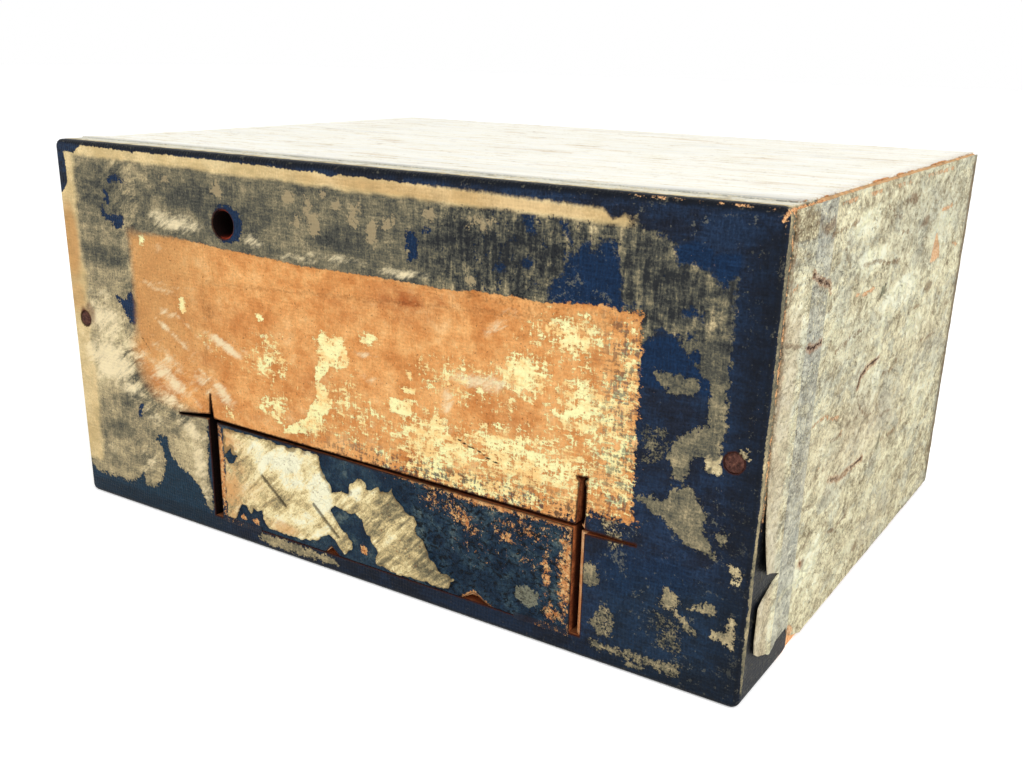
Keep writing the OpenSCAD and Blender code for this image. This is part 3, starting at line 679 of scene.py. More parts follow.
def cloth_material():
    """Blue book cloth with paper remains, a bare patch, pale smears, rust and worn edges."""
    b = new_material("worn blue cloth")
    look = bpy.context.scene.collection_box
    place = b.millimetres()
    weave = b.group("cloth weave", place=place, pitch=1.05)
    slubs = weave["Slubs"]
    fine = b.noise(place, 0.6, 4, 0.75)
    middle = b.noise(b.mapped(place, (0.6, 0.6, 1)), 3.4, 6, 0.7)
    sloping = b.noise(b.slanting(place, 0.6), 2.6, 6, 0.74, 0.5)
    broad = b.noise(place, 15.0, 5, 0.6)

    blue = b.mix(b.rise(broad * 0.5 + middle * 0.5, 0.42, 0.58),
                 tuple(look.cloth_dark) + (1,), tuple(look.cloth_bright) + (1,))
    blue = b.mix(b.field("teal") * 0.8, blue, (24, 50, 66))
    blue = b.mix(b.field("clean") * 0.85, blue, (17, 41, 70))
    blue = b.shade(blue, slubs, 2.6)
    blue = b.shade(blue, fine, 2.4)
    clumps = b.rise(b.noise(b.millimetres((1, 1, 1), (3, 8, 1)), 8.0, 5, 0.7), 0.46, 0.6)
    dust = b.worn(b.millimetres((1, 1, 1), (5, 5, 5)), fine, b.field("dust") * clumps)
    blue = b.mix(dust * 0.65, blue, (112, 112, 100))
    # Darker towards the edges, over the turned edges and at the foot; low on the sides, under the right
    # paper's lifted tongues, this is painted shadow.
    rim = b.field("rim")
    blue = b.mix(rim, blue, (17, 21, 28))
    scuffs = b.worn(b.millimetres((1, 1, 1), (9, 9, 9)), fine, rim * 0.3)
    blue = b.mix(scuffs * 0.7, blue, (92, 90, 78))

    in_band, haze = b.field("band"), b.field("haze")
    film = b.ragged("film", place, 1.5 - in_band, 2.6 - in_band * 1.7, 0.14 + haze * 2.0)
    film *= b.most(b.worn(place, fine, b.field("cover")), b.rise(b.field("cover"), 0.93, 0.98))
    upright = b.noise(b.millimetres((1, 1, 0.16), (6, 1, 2)), 1.6, 5, 0.7)
    tone = b.field("tone") + (fine - 0.5) * 0.9 + (middle - 0.5) * (0.9 + haze * 4.0)
    tone += (upright - 0.5) * (0.5 + haze * 5.0) + (slubs - 0.55) * 0.7
    tone += (sloping - 0.5) * b.field("soft") * 2.6
    paper = b.colours(tone, [
        (0.0, (44, 46, 48)), (0.25, (80, 80, 72)), (0.45, (120, 114, 92)), (0.6, (154, 142, 112)),
        (0.75, (190, 172, 132)), (1.0, (230, 214, 168))])
    pores = b.rise(b.noise(place, 0.9, 4, 0.75), 0.58, 0.68) * (1.0 - in_band)
    paper = b.mix(pores * 0.55, paper, (52, 56, 58))
    cream = b.mix(b.rise(fine * 0.4 + broad * 0.6, 0.42, 0.6), (206, 180, 128), (234, 210, 158))
    cream = b.mix(b.field("amber"), cream, (200, 150, 92))
    cream = b.shade(cream, middle * 0.6 + slubs * 0.4, 1.3)
    paper = b.mix(b.rise(in_band + (middle - 0.5) * 0.9, 0.05, 0.95), paper, cream)
    paper = b.mix(b.ragged("spots", place, 3.4, 3.0, 0.3) * 0.8, paper, (172, 154, 118))

    fringe = b.field("fringe")
    soft = 0.16 + b.field("soft") * 4.0
    patch = b.ragged("patch", b.millimetres((0.8, 1, 1)), 0.5 + fringe * 1.6, 1.1 + fringe * 4.5, soft)
    level = b.noise(b.millimetres((0.7, 1, 1)), 4.0, 7, 0.75)
    cloud = b.noise(place, 13.0, 6, 0.66) * 0.55 + level * 0.45
    warm = b.colours(cloud, [
        (0.38, (200, 128, 68)), (0.47, (221, 153, 89)), (0.55, (237, 176, 110)), (0.66, (252, 206, 145))])
    warm = b.mix(b.field("dull") * 0.7, warm, (198, 148, 92))
    stain = b.clamped(b.field("stain") * (1.0 + (middle - 0.5) * 4.0))
    warm = b.mix(stain, warm, (176, 102, 54))
    warm = b.shade(warm, slubs, 0.6)
    warm = b.shade(warm, fine, 0.9)
    rub = (b.field("rub") + (broad - 0.5) * 0.5) * b.rise(b.field("rub"), 0.0, 0.2)
    rubbed = b.worn(b.millimetres((0.75, 1, 1)), slubs, rub)
    pale = b.colours(middle, [(0.4, (255, 214, 142)), (0.56, (255, 250, 184))])
    warm = b.mix(rubbed, warm, pale)
    specks = b.rise(b.noise(place, 0.7, 3, 0.6), 0.655, 0.7)
    warm = b.mix(specks * 0.75, warm, (112, 70, 42))
    warps = b.noise(b.millimetres((0.3, 1, 1), (2, 7, 4)), 0.9, 3, 0.6)
    wefts = b.noise(b.millimetres((1, 1, 0.3), (8, 2, 4)), 0.9, 3, 0.6)
    gaps = (warps + wefts) * 0.36 + fine * 0.28
    patch *= 1.0 - b.rise(gaps, 0.5, 0.55) * b.field("threads")

    colour = b.mix(film, blue, paper)
    colour = b.mix(patch, colour, warm)
    streaks = sloping * 0.65 + middle * 0.35
    smear = b.field("smear") * 1.2 + (streaks - 0.5) * 4.4
    smear = b.rise(smear, 0.3, 1.3) * b.rise(b.field("smear"), 0.02, 0.35)
    pale_smear = b.mix(b.field("white"), (252, 234, 190), (226, 226, 214))
    colour = b.mix(smear * 0.85 * b.most(film, patch), colour, pale_smear)
    bare = b.worn(place, fine, b.field("bare"))
    colour = b.mix(bare, colour, b.mix(b.rise(fine, 0.4, 0.6), (182, 118, 70), (238, 186, 132)))
    colour = b.mix(b.field("rust"), colour, b.mix(b.rise(fine, 0.4, 0.6), (74, 34, 24), (120, 62, 38)))
    cracks = b.rise(b.field("crack") + (fine - 0.5) * 0.5, 0.34, 0.14)
    colour = b.mix(cracks, colour, (52, 30, 20))
    edge = b.rise(b.field("cutline") + (fine - 0.5) * 1.6, 0.45, 0.85)
    colour = b.mix(edge * 0.85, colour, (58, 26, 16))

    covered = b.most(film, patch)
    height = weave["Height"] * 0.05 + film * 0.1 + slubs * 0.22 + patch * -0.07
    height += rubbed * 0.05 + fine * 0.16 + cracks * -0.3
    return b.surface(colour, 0.44 + covered * 0.34, height, specular=0.08)


def flap_material():
    """The same cloth on the flap: greener, pitted, and speckled where the ground shows through."""
    b = new_material("pitted flap cloth")
    place = b.millimetres()
    weave = b.group("cloth weave", place=place, pitch=1.05)
    fine = b.noise(place, 0.6, 4, 0.75)
    blue = b.colours(b.noise(place, 7.0, 7, 0.72), [
        (0.35, (12, 30, 48)), (0.48, (24, 46, 66)), (0.58, (44, 66, 80)), (0.68, (96, 110, 108))])
    blue = b.shade(blue, fine, 3.4)
    pits = b.rise(b.noise(b.mapped(place, (0.7, 1, 1)), 1.2, 4, 0.66, 0.6), 0.54, 0.61) * b.field("pits")
    blue = b.mix(pits * 0.9, blue, (8, 14, 20))
    rubbed = b.worn(place, fine, b.field("rub"))
    ground = b.colours(b.noise(place, 1.4, 6, 0.8), [
        (0.35, (184, 108, 58)), (0.5, (228, 162, 102)), (0.62, (255, 222, 160))])
    scrap = b.ragged("film", place, 1.6, 1.6, 0.12) * b.rise(fine, 0.36, 0.46)
    colour = b.mix(rubbed, blue, ground)
    colour = b.mix(scrap, colour, (132, 132, 112))
    colour = b.mix(b.field("rim"), colour, (48, 26, 18))
    height = pits * -0.6 + weave["Height"] * 0.05 + fine * 0.5 + rubbed * -0.1
    return b.surface(colour, 0.45 + rubbed * 0.3, height, specular=0.1)


def label_material():
    """Wrinkled label paper, white in the middle, tan at the left and grey at the right."""
    b = new_material("label remains")
    place = b.millimetres()
    fine = b.noise(place, 0.6, 4, 0.75)
    cloud = b.noise(b.mapped(place, (0.7, 1, 1)), 6.0, 6, 0.7)
    sloping = b.noise(b.slanting(place, 0.75, 0.2), 2.6, 6, 0.74, 0.4)
    tone = b.field("tone") + (cloud - 0.5) * 1.2 + (fine - 0.5) * 0.8 + (sloping - 0.5) * 1.8
    colour = b.colours(tone, [
        (0.0, (96, 92, 74)), (0.22, (150, 138, 104)), (0.42, (212, 190, 138)),
        (0.62, (255, 238, 182)), (0.85, (255, 252, 218))])
    colour = b.mix(b.field("warm") * b.rise(cloud, 0.35, 0.6), colour, (222, 168, 108))
    grime = b.rise(b.noise(b.mapped(place, (0.6, 1, 1)), 2.0, 6, 0.8), 0.56, 0.68)
    colour = b.mix(grime * 0.55, colour, (128, 112, 80))
    soiled = b.rise(b.field("grime") + (cloud - 0.5) * 3.0, 0.4, 0.9)
    colour = b.mix(soiled * 0.7, colour, (116, 98, 66))
    colour = b.mix(b.rise(b.noise(place, 1.3, 3, 0.6), 0.64, 0.7) * 0.6, colour, (140, 86, 48))
    crease = b.rise(b.field("crease") + (fine - 0.5) * 1.4, 0.9, 0.1)
    colour = b.mix(crease * 0.8, colour, (72, 62, 48))
    wrinkle = b.rise(b.off(b.noise(place, 7.0, 3, 0.6, 1.2)), 0.02, 0.004)
    colour = b.mix(wrinkle * 0.1, colour, (130, 118, 90))
    edge = b.rise(b.field("inside"), 0.7, 0.1)
    colour = b.mix(edge * 0.35, colour, (120, 96, 62))
    height = fine * 0.2 + crease * -0.3 + wrinkle * 0.1 + cloud * 0.8
    return b.surface(colour, 0.78, height, specular=0.1)


def paper_material(name, seed):
    """Crackled cover paper: cream flakes over olive grey, brown where torn, bare wood in the chips."""
    b = new_material(name)
    move = (seed * 31.7, seed * 17.3, seed * 5.9)
    place = b.millimetres((1, 1, 1), move)
    flakes = b.group("paper flakes", place=place)
    grain, patches, bright = flakes["Grain"], flakes["Patches"], flakes["Bright"]
    fine = b.noise(place, 0.6, 4, 0.75)
    wide = b.noise(b.mapped(place, (0.6, 0.6, 1)), 24.0, 4, 0.55)
    light = (b.field("light") - 0.3) * 0.4 + (wide - 0.5) * 0.5
    level = (grain - 0.5) * 3.0 + (patches - 0.5) * 1.2 + light
    colour = b.colours(0.5 + level, [
        (0.05, (128, 112, 82)), (0.26, (182, 170, 136)), (0.46, (230, 220, 182)),
        (0.62, (252, 244, 202)), (0.8, (255, 254, 224))])
    cool = b.rise(b.noise(b.mapped(place, (0.5, 0.5, 1), (13, 9, 50)), 11.0, 8, 0.76, 0.5), 0.49, 0.58)
    cool = cool * b.rise(b.field("light"), 1.1, 0.5)
    cool = b.most(cool * 0.5, b.field("cool") * b.rise(grain, 0.4, 0.6))
    colour = b.mix(cool, colour, b.shade((196, 200, 184), grain, 2.6))
    gleam = bright * b.rise(b.field("light") + (wide - 0.5) * 2.0, 0.1, 0.8)
    colour = b.mix(gleam * 0.75, colour, (255, 252, 210))
    dirty = flakes["Dirty"] * b.rise(b.field("light"), 1.0, 0.2)
    colour = b.mix(dirty * 0.6, colour, (138, 118, 88))
    grey = b.colours(grain, [(0.38, (120, 122, 116)), (0.5, (180, 182, 170)), (0.6, (236, 232, 208))])
    band = b.rise(b.field("band") + (grain - 0.5) * 1.0, 0.42, 0.58) * (1.0 - bright * 0.5)
    colour = b.mix(band * 0.75, colour, grey)
    # Painted shadow along the flakes' edges, as thin brown lines.
    colour = b.mix(flakes["Rims"] * 0.65, colour, (112, 84, 56))
    colour = b.mix(flakes["Specks"] * 0.7, colour, (96, 76, 54))
    colour = b.mix(flakes["Cracks"] * 0.75, colour, (88, 64, 44))
    worn = flakes["Bare"] * b.rise(b.field("light"), 1.0, 0.5)
    colour = b.mix(worn * 0.8, colour, b.shade((206, 158, 112), fine, 3.0))
    brown = b.ragged("brown", place, 1.6, 1.6, 0.8)
    colour = b.mix(brown * 0.7, colour, b.mix(b.rise(fine, 0.4, 0.6), (104, 76, 52), (150, 120, 84)))
    colour = b.mix(b.ragged("olive", place, 1.0, 1.2, 0.4) * 0.75, colour, (96, 98, 72))
    chip = b.ragged("chip", place, 0.8, 1.0, 0.12)
    wood = b.colours(fine, [(0.35, (196, 136, 88)), (0.5, (236, 186, 136)), (0.62, (250, 224, 184))])
    colour = b.mix(chip, colour, wood)
    dots = b.rise(b.noise(b.mapped(place, (0.8, 0.8, 1)), 0.8, 3, 0.6), 0.6, 0.66) * b.field("dots")
    colour = b.mix(dots * 0.7, colour, (84, 66, 46))
    shifted = b.millimetres((0.8, 0.8, 1), (move[0] + 7, move[1] + 3, move[2] + 5))
    flecks = b.rise(b.noise(shifted, 1.0, 3, 0.6), 0.6, 0.66) * b.field("dots")
    colour = b.mix(flecks * 0.7, colour, (255, 244, 200))
    crease = b.rise(b.field("crease") + (grain - 0.5) * 6.0, 0.8, 0.2)
    colour = b.mix(crease * 0.65, colour, b.mix(b.rise(fine, 0.42, 0.58), (104, 78, 52), (172, 138, 96)))
    halo = b.rise(b.field("crack") + (grain - 0.5) * 7.0, 1.5, 0.5)
    colour = b.mix(halo * 0.6, colour, (186, 132, 92))
    crack = b.rise(b.field("crack") + (grain - 0.5) * 4.0, 0.38, 0.12)
    colour = b.mix(crack * b.rise(wide, 0.36, 0.5), colour, (66, 40, 28))
    colour = b.mix(b.field("beige") * 0.6, colour, b.shade((204, 182, 150), grain, 3.4))
    colour = b.mix(b.clamped(b.field("shadow") * (0.6 + (grain - 0.5) * 2.0)), colour, (70, 62, 48))
    height = flakes["Height"] * 1.5 + chip * -0.2 + crack * -0.5
    return b.surface(colour, 0.74, height, specular=0.15)


def top_material():
    """Nearly white paper with faint ochre streaks along its length, greyer towards the front; the near
    white is partly the paper's own pale colour and partly painted sheen.
    """
    b = new_material("pale top paper")
    place = b.millimetres((0.12, 1, 1))
    streaks = b.noise(place, 2.4, 7, 0.74)
    fine = b.noise(b.millimetres(), 0.7, 4, 0.75)
    tone = streaks * 0.7 + fine * 0.3
    # Near white: partly the paper's pale colour and partly painted sheen on the top.
    colour = b.colours(tone, [
        (0.35, (170, 152, 120)), (0.4, (226, 214, 184)), (0.45, (252, 248, 232)),
        (0.6, (255, 255, 250))])
    cloud = b.noise(b.millimetres((0.25, 0.8, 1), (40, 7, 0)), 9.0, 6, 0.74)
    colour = b.mix(b.rise(cloud, 0.56, 0.68) * 0.4, colour, (206, 176, 124))
    flecks = b.rise(b.noise(b.millimetres((0.35, 1, 1), (3, 11, 0)), 1.3, 4, 0.7), 0.6, 0.68)
    colour = b.mix(flecks * b.rise(cloud, 0.4, 0.6) * 0.7, colour, (140, 112, 76))
    colour = b.mix(b.field("grey") * b.rise(tone, 0.34, 0.56), colour, (158, 158, 150))
    colour = b.mix(b.field("brown") * b.rise(fine, 0.45, 0.62), colour, (150, 116, 82))
    chip = b.ragged("chip", b.millimetres(), 0.7, 1.0, 0.12)
    colour = b.mix(chip, colour, b.mix(b.rise(fine, 0.4, 0.6), (176, 110, 66), (232, 176, 120)))
    height = streaks * 0.6 + fine * 0.2 + chip * -0.2
    return b.surface(colour, 0.66, height, specular=0.15)


def wood_material(name, light, dark, turn=(0, 0, 0), kerf_shade=0.0, unshaded_depth=0.0, unshaded_more=0.0,
                  pale_spots=(), hole=None):
    """Bare softwood: two tones along the grain, dirt in the pores, and painted shade on the faces that lie
    past a depth behind the front board's face, a depth that grows towards the right, as they show in the
    saw cuts. Pale spots are (lowest, highest) corners in millimetres of bare places in pale wood, which on
    a bevel also stands for painted light, and a hole (x, z, radius) gets painted shade on its wall:
    brown-red at its right and nearly black at its left."""
    b = new_material(name)
    place = b.millimetres()
    grain = b.group("wood grain", place=b.mapped(place, turn=turn))
    tone, late, fibres = grain["Tone"], grain["Late wood"], grain["Fibres"]
    colour = b.mix(b.rise(tone, 0.35, 0.65), dark, light)
    colour = b.mix(late * 0.35, colour, dark)
    dirt = b.rise(b.noise(place, 3.0, 5, 0.7), 0.5, 0.72)
    colour = b.mix(dirt * 0.5, colour, (62, 38, 26))
    parts = b.parts(place)
    # Painted shade in the saw cuts: past a depth behind the front board's face the wood turns dark, nearly
    # black at the left and brown at the right.
    if kerf_shade:
        unshaded_extra = b.rise(parts[0], 10.0, 60.0) * unshaded_more - b.rise(parts[0], 0.0, -50.0) * 1.6
        behind = parts[1] + dirt * 0.8 - unshaded_extra
        behind = b.rise(behind, BOARD_Y + unshaded_depth, BOARD_Y + unshaded_depth + 1.4)
        black = b.mix(b.rise(parts[0], 0.0, 40.0), (4, 2, 2), (60, 26, 14))
        colour = b.mix(behind * kerf_shade, colour, black)
    for low, high in pale_spots:
        inside = 1.0
        for axis in range(3):
            above = b.rise(parts[axis], low[axis] - 0.05, low[axis])
            inside = inside * above * b.rise(parts[axis], high[axis] + 0.05, high[axis])
        # Pale bare wood; on the bevel beside the right cut this pale colour also stands for painted light.
        clean = b.mix(b.rise(tone, 0.4, 0.6), (232, 156, 98), (255, 204, 150))
        colour = b.mix(inside, colour, clean)
    # Painted shade in the round hole: its wall is nearly black at the left, where shade falls, and
    # brown-red at the right.
    if hole:
        across, up = parts[0] - hole[0], parts[2] - hole[1]
        squared = across * across + up * up
        hole_shade = b.mix(b.rise(across + dirt * 1.5, -2.5, 3.0), (16, 5, 4), (176, 66, 40))
        colour = b.mix(b.rise(squared, (hole[2] + 0.9) ** 2, (hole[2] + 0.4) ** 2), colour, hole_shade)
    height = fibres * 0.25 + late * 0.08
    return b.surface(colour, 0.75, height, specular=0.1)


def rust_material():
    """Rusty iron: brown and orange scale with dark pits."""
    b = new_material("rusty iron")
    place = b.millimetres()
    scale = b.noise(place, 0.9, 5, 0.7)
    pits = b.rise(b.noise(place, 0.5, 2, 0.5), 0.6, 0.7)
    colour = b.colours(scale, [
        (0.34, (50, 32, 28)), (0.48, (82, 52, 45)), (0.6, (104, 68, 57)), (0.72, (134, 94, 74))])
    colour = b.mix(pits * 0.7, colour, (30, 18, 16))
    height = scale * 0.3 + pits * -0.15
    return b.surface(colour, 0.85, height, metallic=0.1, specular=0.15)


def base_material():
    """Plain dirty paper under the box, scuffed through to a paler layer and brown in its specks."""
    b = new_material("base paper")
    place = b.millimetres((1, 1, 1), (91, 23, 47))
    flakes = b.group("paper flakes", place=place)
    tone = b.noise(place, 24.0, 5, 0.6) * 0.5 + flakes["Grain"] * 0.5
    colour = b.colours(tone, [(0.4, (112, 102, 82)), (0.5, (156, 146, 118)), (0.6, (198, 188, 154))])
    colour = b.mix(flakes["Bright"] * 0.4, colour, (220, 210, 174))
    colour = b.mix(flakes["Dirty"] * 0.6, colour, (98, 84, 62))
    colour = b.mix(b.most(flakes["Specks"], flakes["Cracks"]) * 0.7, colour, (82, 62, 44))
    return b.surface(colour, 0.85, flakes["Height"], specular=0.1)


def coat(obj, material):
    obj.data.materials.clear()
    obj.data.materials.append(material)
    return obj


# The blue cloth

def on_front(x, y, z):
    """Points in the frame's millimetres from an outline's x and z and the frame's own y."""
    return np.stack([MARK_X + x, y, MARK_Z + z], -1)


def front_cut(x, z):
    """Depth in the saw cuts, the round hole and the nail seats of the front cloth."""
    rounds = [(*HOLE_AT, HOLE_R)] + [(nail_x, NAIL_Z, NAIL_R) for nail_x in NAILS_X]
    inside = [r - np.hypot(x - middle_x, z - middle_z) for middle_x, middle_z, r in rounds]
    return np.maximum.reduce([deepest(x, z, [OPENING] + OVERCUTS)] + inside)


# Where the worn edges of the front lie, from the left to the right and from the foot to the top
WORN_X, WORN_Z = (-2.5, 239.4), (-2.0, 118.2)


def front_fields(x, z):
    """What lies where on the front: depths in the outlines and strengths of the clouds."""
    wander = waves(x, z, 7, 11) * 0.5 + waves(x, z, 2.4, 12) * 0.3
    blue_spots = np.maximum(deepest(x, z, BLUE_SPOTS), oval(x, z, *HOLE_RING))
    main, right = depth_in(x, z, FILM_MAIN), depth_in(x, z, FILM_RIGHT)
    film = np.minimum(np.maximum(main, right), -blue_spots)
    rubbed_out = smooth(deepest(x, z, RUB_OUTLINES) / 0.8 + 0.6 + wander * 0.5)
    band_foot = 113.9 - (x - 10) * 0.0165
    top_band = smooth((z - band_foot + wander) / 2.4 + 0.5) * ramp(x, 207, 201)
    side_band = smooth((6.2 - x + 2 * wander) / 5 + 0.5) * ramp(z, 9, 12)
    band = np.maximum(top_band, side_band)
    over_navy = ramp(x, 136, 158) * ramp(z, 84, 90)
    tone = 0.44 + 0.08 * ramp(x, 60, 30) - 0.26 * clouds(x, z, GREYS) + 0.08 * waves(x, z, 12, 5)
    tone += 0.12 * ramp(z, 34, 24) * ramp(x, 56, 46) + 0.34 * mist(x, z, PALE_FILM)
    tone = np.where(right > main, 0.27, tone - 0.05 * over_navy)
    cover = np.maximum(np.where(right > main, 0.84, 1 - 0.3 * over_navy), band)
    spots = np.maximum.reduce([oval(x, z, *spot) for spot in CREAM_SPOTS])
    cover = np.maximum(cover, smooth(spots / 0.5 + 0.5))
    haze = 0.25 * over_navy
    for (scrap_tone, scrap_cover), *outline in FILM_SCRAPS:
        depth = depth_in(x, z, outline)
        lies_here = depth > np.maximum(film, -1.5)
        tone = np.where(lies_here, 0.2 + 0.65 * scrap_tone, tone)
        cover = np.where(lies_here, scrap_cover, cover)
        haze = np.where(lies_here, 0, haze)
        film = np.maximum(film, depth)
    edge = np.minimum.reduce([x - WORN_X[0], WORN_X[1] - x, z - WORN_Z[0], WORN_Z[1] - z])
    right_dark = ramp(x, 227, 236) * 0.6 * ramp(z, 116, 110)
    rim = np.maximum.reduce([ramp(edge, 2.2, 0.8) * 0.95, right_dark, ramp(z, 4.6, 3.4) * 0.45])
    worn_corner = 0.8 * smooth(1.2 - np.hypot((x - 239) / 1.8, (z - 116) / 2.6))
    worn_top = 0.3 * ramp(z, 117, 117.5) * ramp(z, 118.6, 118.1) * ramp(x, 196, 202)
    soft_left = 0.4 * ramp(x, 38, 32) * ramp(x, 22, 26) + 0.25 * ramp(x, 66, 36) * ramp(z, 88, 91)
    return {
        "film": film, "cover": cover, "tone": tone, "haze": haze, "band": band, "spots": spots,
        "patch": depth_in(x, z, PATCH), "rub": np.maximum(mist(x, z, RUBS), 0.62 * rubbed_out),
        "smear": np.minimum(mist(x, z, SMEARS), 1), "stain": mist(x, z, STAINS),
        "rust": clouds(x, z, RUST_STAINS), "crack": off_line(x, z, FRONT_CRACKS),
        "threads": np.maximum(ramp(x, 192, 204) * 0.65, 0.8 * ramp(z, 46, 38) * ramp(x, 84, 134)),
        "rim": np.maximum(rim * (1 - 0.75 * side_band * ramp(edge, 0.6, 1.4)), 0),
        "amber": clouds(x, z, AMBER),
        "teal": ramp(x, 75, 50) * ramp(z, 60, 30) + 0.3 * ramp(x, 196, 206) * ramp(z, 34, 24),
        "white": 0, "clean": np.maximum(smooth((blue_spots + 1.6) / 0.8), clouds(x, z, CLEAN)),
        "dust": 0.1 + 0.3 * ramp(x, 195, 205) * ramp(z, 70, 30) + 0.24 * over_navy,
        "soft": np.maximum(clouds(x, z, SOFT_PATCH), soft_left),
        "fringe": ramp(z, 44, 36) * ramp(x, 70, 100) + 0.5 * ramp(x, 180, 210),
        "dull": ramp(x, 84, 38) * ramp(z, 36, 66), "bare": np.maximum(worn_corner, worn_top),
        "cutline": smooth(1 + front_cut(x, z) / 0.9),
    }


def front_relief(x, z, fields):
    """Height over the cloth in millimetres: the paper stands proud, the patch is sunk and the board
    wanders."""
    paper = smooth(fields["film"] / 0.7 + 0.5) * np.clip(fields["cover"], 0, 1)
    bare = smooth(fields["patch"] / 0.7 + 0.5)
    thread = 0.03 * np.sin(x * 6) * np.sin(z * 6)
    return (0.12 * paper * (1 - bare) - 0.1 * bare + 0.05 * fields["rub"] * bare
            + 0.05 * waves(x, z, 30, 21) + 0.03 * waves(x, z, 3, 22) + thread)


# The corners of the front's flat part: radius, and its limits in the outlines' millimetres
FLAT_R = CORNER_R - EDGE_R
FLAT_X = CLOTH_LOW[0] + EDGE_R - MARK_X, CLOTH_HIGH[0] - EDGE_R - MARK_X
FLAT_Z = CLOTH_LOW[2] + EDGE_R - MARK_Z, CLOTH_HIGH[2] - EDGE_R - MARK_Z


def rounded_corners(x, z):
    """Rounds the corners of the flat part: in each corner square a point's distance from the corner's
    centre becomes the greater of its two offsets, so that the square turns into a quarter of a disc.
    Returns the new places and the outward direction at each."""
    dx = np.maximum(FLAT_X[0] + FLAT_R - x, 0) - np.maximum(x - FLAT_X[1] + FLAT_R, 0)
    dz = np.maximum(FLAT_Z[0] + FLAT_R - z, 0) - np.maximum(z - FLAT_Z[1] + FLAT_R, 0)
    away = np.hypot(dx, dz)
    scale = np.where(away > 0, np.maximum(np.abs(dx), np.abs(dz)) / np.maximum(away, 1e-9), 1)
    outward = np.stack([-dx, -dz], -1) / np.maximum(away, 1e-9)[..., None]
    return x + dx * (1 - scale), z + dz * (1 - scale), outward


def turned_edge(x_lines, z_lines):
    """The cloth that turns round the front's edges: each place on the flat part's border is carried
    outwards and backwards round a quarter circle and then straight back to the depth that the turn-in
    has there. Returns the points in millimetres, the faces and the inward directions."""
    left, right, foot, top = x_lines[0], x_lines[-1], z_lines[0], z_lines[-1]
    borders = [
        (np.full(len(z_lines), right), z_lines), (x_lines[::-1], np.full(len(x_lines), top)),
        (np.full(len(z_lines), left), z_lines[::-1]), (x_lines, np.full(len(x_lines), foot))]
    x, z = (np.concatenate([border[k][:-1] for border in borders]) for k in (0, 1))
    x, z, outward = rounded_corners(x, z)
    side_share, end_share = outward.T ** 2
    depth = SIDE_TURN * side_share + np.where(outward[:, 1] > 0, TOP_TURN, BASE_TURN) * end_share

    bend = np.linspace(0, math.pi / 2, 6)
    close_rows = 0.14
    share = np.concatenate([np.linspace(0, close_rows, 8)[1:], np.linspace(close_rows, 1, 9)[1:]])
    out = np.concatenate([EDGE_R * np.sin(bend), np.full(len(share), EDGE_R)])
    bent_back = np.tile(EDGE_R * (1 - np.cos(bend)), (len(depth), 1))
    back = np.concatenate([bent_back, EDGE_R + np.outer(depth - EDGE_R, share)], 1)
    out_x, out_z = outward.T[..., None]
    points = on_front(x[:, None] + out_x * out, CLOTH_LOW[1] + back, z[:, None] + out_z * out)
    lean = np.concatenate([np.sin(bend), np.ones(len(share))])
    inward = np.stack([-out_x * lean, np.tile(np.sqrt(1 - lean ** 2), (len(x), 1)), -out_z * lean], -1)
    index = np.arange(back.size).reshape(back.shape)
    after = np.roll(index, -1, 0)
    faces = np.stack([index[:, :-1], index[:, 1:], after[:, 1:], after[:, :-1]], -1).reshape(-1, 4)
    return points.reshape(-1, 3), faces, inward.reshape(-1, 3)


def welded(points, parts):
    """Joins points that lie within a thousandth of a millimetre, and drops faces that this flattens."""
    rounded = np.round(points * 1000).astype(np.int64)
    _, first, number = np.unique(rounded, axis=0, return_index=True, return_inverse=True)
    number = number.ravel()
    quads, tris = [], []
    for part in parts:
        part = first[number[part]]
        same = part == np.roll(part, -1, 1)
        (tris if part.shape[1] == 3 else quads).append(part[~same.any(1)])
        if part.shape[1] == 4:
            single = (same.sum(1) == 1) & (part[:, 0] != part[:, 2]) & (part[:, 1] != part[:, 3])
            tris.append(part[single][~same[single]].reshape(-1, 3))
    return [np.concatenate(quads), np.concatenate(tris)]


def joined(pieces):
    """Several (points, faces) as one, with the point numbers in the faces moved on."""
    starts = np.cumsum([0] + [len(points) for points, _ in pieces])
    faces = [part + start for (_, part), start in zip(pieces, starts)]
    return np.concatenate([points for points, _ in pieces]), np.concatenate(faces)


